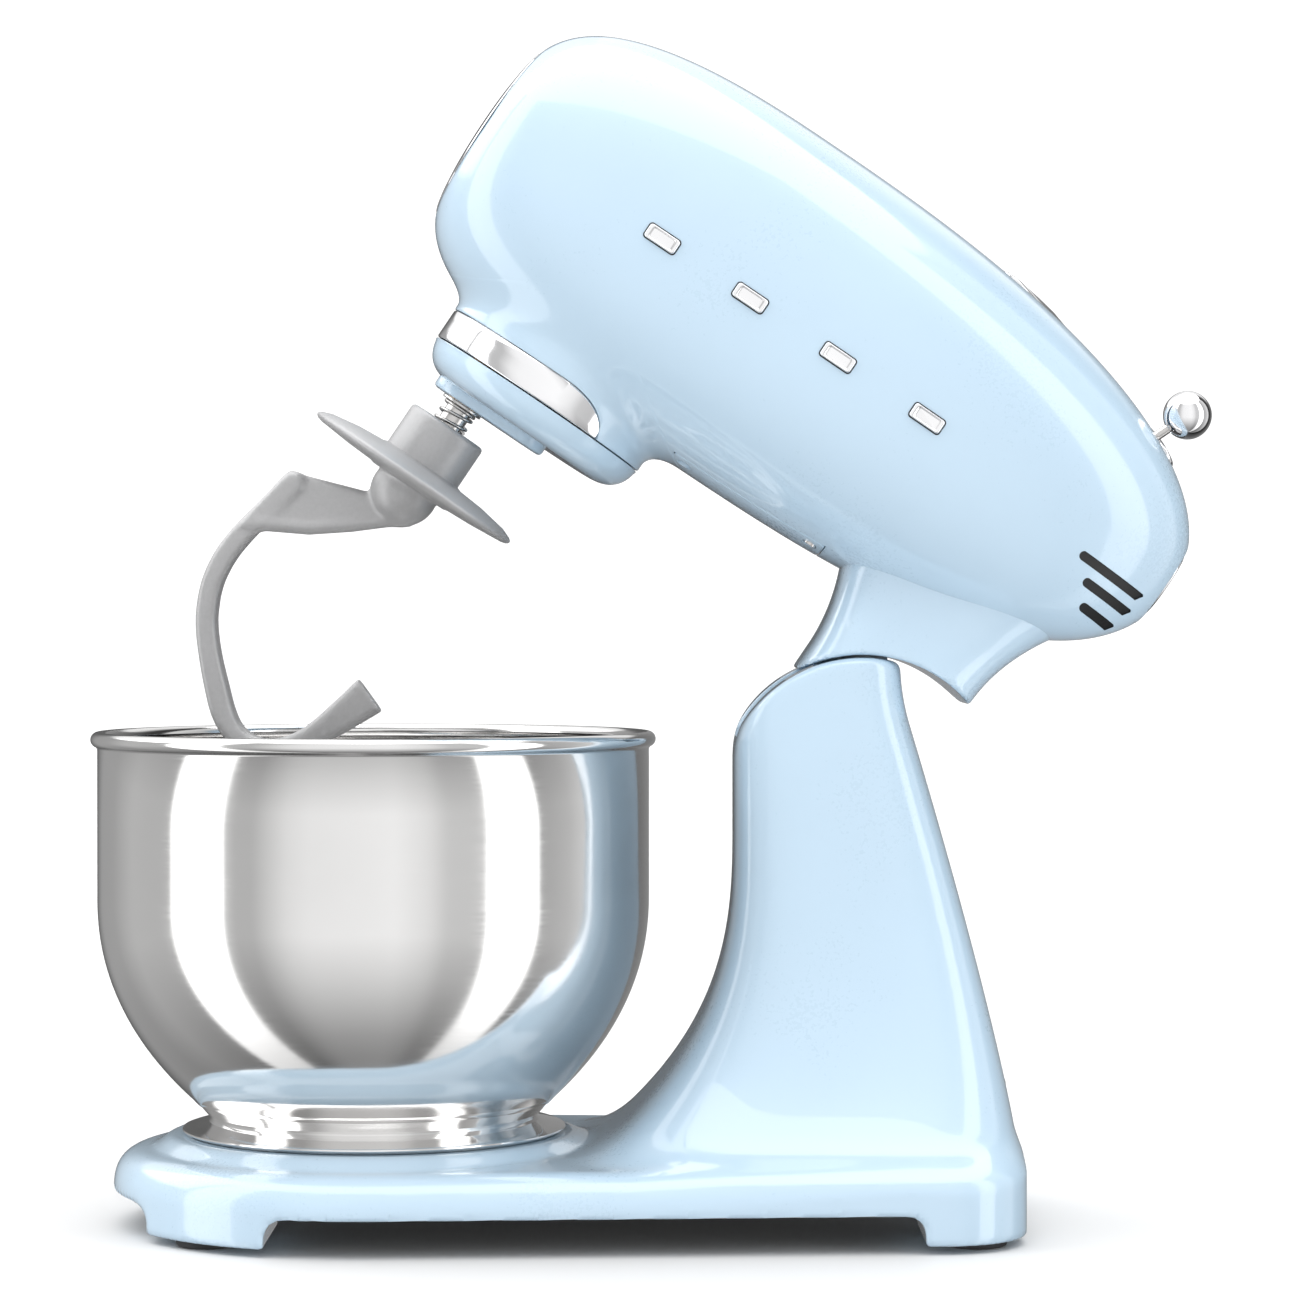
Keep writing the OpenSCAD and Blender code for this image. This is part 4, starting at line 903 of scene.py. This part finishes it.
hook = surface(hook_field, (-194, -22, 43), (-92, 22, 208), 1.1)
pin_slot = [box_shape((SHAFT_X - 2.3, -10.5, 193.7), (SHAFT_X + 2.3, 10.5, 210))]
piece("hook_casting", cut(hook, *pin_slot), "hook", ["dough_hook"], "coated_metal", True, 42)
guard = [(17.1, 187.2), (19, 186.5), (30, 185.6), (42, 183.6), (46, 182.0), (47, 181.3), (47.35, 180.6)]
guard += [(47, 179.8), (46, 179.1), (44, 178.6), (30, 177.4), (19, 176.9), (17.1, 176.4)]
piece("hook_disc", lathe(guard, SHAFT_X, 0, 160), "hook", ["hook_guard"], "coated_metal", True, 60)


# ---- bowl


def bezier(a, b, c, d, t):
    return tuple(
        (1 - t) ** 3 * p + 3 * (1 - t) ** 2 * t * q + 3 * (1 - t) * t * t * r + t**3 * s
        for p, q, r, s in zip(a, b, c, d)
    )


wall = [bezier((66, 44), (98, 70), (BOWL_R, 100), (BOWL_R, 132), k / 40) for k in range(41)]
curl = np.linspace(0.35, 2 * math.pi - 0.6, 28)
rim = [(112.2 + 3.16 * math.sin(t), 197.4 - 3.16 * math.cos(t)) for t in curl]
inside = [(111.4, 194), (111.4, 160)] + [(r - 0.95, h + 0.75) for r, h in wall[::-1]]
inside += [(60, 44.2), (40, 44.2), (38, 44.6), (0, 44.6)]
outside = [(0, 43), (60, 43)] + wall + [(BOWL_R, 165), (BOWL_R, 193.6)]
piece("bowl_skin", lathe(outside + rim + inside, HUB_X, 0, 192), "bowl", ["bowl"], "bowl_steel", sharp=50)

foot = [(76.8, 55.2), (76.2, 54.6), (73.6, 50.4), (72.2, 49), (71.5, 48.9), (71.2, 48.4), (68.4, 45.2)]
foot += [(66.9, 43.6), (66.8, 42.9), (67.6, 41.9), (69.8, 41), (73.5, 40.1), (77.2, 39.2), (78.1, 38.9)]
foot += [(78.3, 38.4), (77.9, 37.9), (76.5, 37.6), (76, 37), (63, 37), (63, 43.2), (66.5, 44.6), (76, 54.6)]
piece("bowl_base_ring", lathe(foot, HUB_X, 0, 192), "bowl", ["bowl_foot"], "foot_steel", sharp=28)


# ---- studio

scene = bpy.context.scene


def staged(name, points, faces, colour, rough):
    me = bpy.data.meshes.new(name)
    me.from_pydata(points, [], faces)
    ob = bpy.data.objects.new(name, me)
    scene.collection.objects.link(ob)
    m = bpy.data.materials.new(name)
    m.use_nodes = True
    m.node_tree.nodes["Principled BSDF"].inputs["Base Color"].default_value = (*colour, 1)
    m.node_tree.nodes["Principled BSDF"].inputs["Roughness"].default_value = rough
    me.materials.append(m)
    ob.visible_glossy = False
    return ob


staged("floor", [(-6, -6, 0), (6, -6, 0), (6, 6, 0), (-6, 6, 0)], [(0, 1, 2, 3)], (0.7, 0.7, 0.7), 0.5)


scene.view_settings.view_transform = "Standard"


def studio_world():
    """Soft studio light by direction alone: a broad top box, a tall box on each side, grey between
    them, darker behind with a high light to the left. Seen directly it is plain white."""
    world = bpy.data.worlds.new("studio")
    world.use_nodes = True
    n, link = world.node_tree.nodes, world.node_tree.links

    def math_node(kind, a, b=0.0):
        node = n.new("ShaderNodeMath")
        node.operation = kind
        for k, v in enumerate((a, b)):
            if isinstance(v, (int, float)):
                node.inputs[k].default_value = v
            else:
                link.new(v, node.inputs[k])
        return node.outputs["Value"]

    def ramp(value, stops):
        node = n.new("ShaderNodeValToRGB")
        node.color_ramp.interpolation = "LINEAR"
        while len(node.color_ramp.elements) < len(stops):
            node.color_ramp.elements.new(0.5)
        for e, (at, v) in zip(node.color_ramp.elements, stops):
            e.position = at
            e.color = (v, v, v, 1)
        link.new(value, node.inputs["Fac"])
        return node.outputs["Color"]

    way = n.new("ShaderNodeTexCoord").outputs["Generated"]
    split = n.new("ShaderNodeSeparateXYZ")
    link.new(way, split.inputs["Vector"])
    x, y, z = split.outputs
    around = math_node("ARCTAN2", x, math_node("MULTIPLY", y, -1.0))
    around = math_node("ADD", math_node("DIVIDE", around, 2 * math.pi), 0.5)
    up = math_node("ADD", math_node("DIVIDE", math_node("ARCSINE", z), math.pi), 0.5)
    sides = ramp(around, [((a + 180) / 360, v / BRIGHT) for a, v in AROUND])
    keep = ramp(up, [((a + 90) / 180, v) for a, v in KEEP])
    top = ramp(up, [((a + 90) / 180, v / BRIGHT) for a, v in TOP])
    behind = ramp(around, [((a + 180) / 360, v / BRIGHT) for a, v in BEHIND])
    behind = math_node("MULTIPLY", behind, ramp(up, [((a + 90) / 180, v) for a, v in OVER]))
    level = math_node("ADD", math_node("ADD", math_node("MULTIPLY", sides, keep), top), behind)
    shade = n["Background"]
    link.new(math_node("MULTIPLY", level, BRIGHT), shade.inputs["Strength"])
    shade.inputs["Color"].default_value = (1, 1, 1, 1)
    seen = n.new("ShaderNodeBackground")
    seen.inputs["Color"].default_value = (1, 1, 1, 1)
    seen.inputs["Strength"].default_value = 1.2
    mix = n.new("ShaderNodeMixShader")
    path = n.new("ShaderNodeLightPath")
    link.new(path.outputs["Is Camera Ray"], mix.inputs["Fac"])
    link.new(shade.outputs["Background"], mix.inputs[1])
    link.new(seen.outputs["Background"], mix.inputs[2])
    link.new(mix.outputs["Shader"], n["World Output"].inputs["Surface"])
    return world


BRIGHT = 4.0
# angle from the camera's side, + to its right, and brightness
AROUND = [(-180, 0.1), (-165, 0.14), (-150, 0.4), (-132, 0.45), (-115, 0.62), (-88, 0.6), (-86.5, 3)]
AROUND += [(-61.5, 3), (-60, 0.8), (-55, 0.63), (-47, 0.62), (-40, 0.8), (-32, 1), (-23, 1.1)]
AROUND += [(12, 1.17), (26, 1), (34, 0.76), (50.5, 0.74), (52, 3), (74, 3), (75.5, 0.5)]
AROUND += [(81, 0.55), (92, 0.65), (102, 0.85), (109, 0.85), (111, 0.05), (122, 0.05), (139, 0.17)]
AROUND += [(180, 0.3)]
# height above level and share of that light, and the light from above
KEEP = [(-90, 0.25), (-70, 0.3), (-60, 0.38), (-49, 0.52), (-30, 0.78), (-12, 1), (51.4, 1), (52, 0)]
TOP = [(51.4, 0), (52, 3), (90, 3)]
# light from behind and from the left, above eye height
BEHIND = [(-180, 0.8), (-140, 0.8), (-137, 2.4), (-93, 2.4), (-91, 0), (130, 0), (150, 0.8), (180, 0.8)]
OVER = [(20, 0), (24, 1), (51.4, 1), (52, 0)]
scene.world = studio_world()

camera = bpy.data.cameras.new("camera")
camera.sensor_width = 36
camera.lens = 108.28
camera.clip_end = 60
eye = bpy.data.objects.new("camera", camera)
eye.location = (-0.001, -1.603, 0.246)
eye.rotation_euler = (math.radians(90 - 0.44), 0, 0)
scene.collection.objects.link(eye)
scene.camera = eye
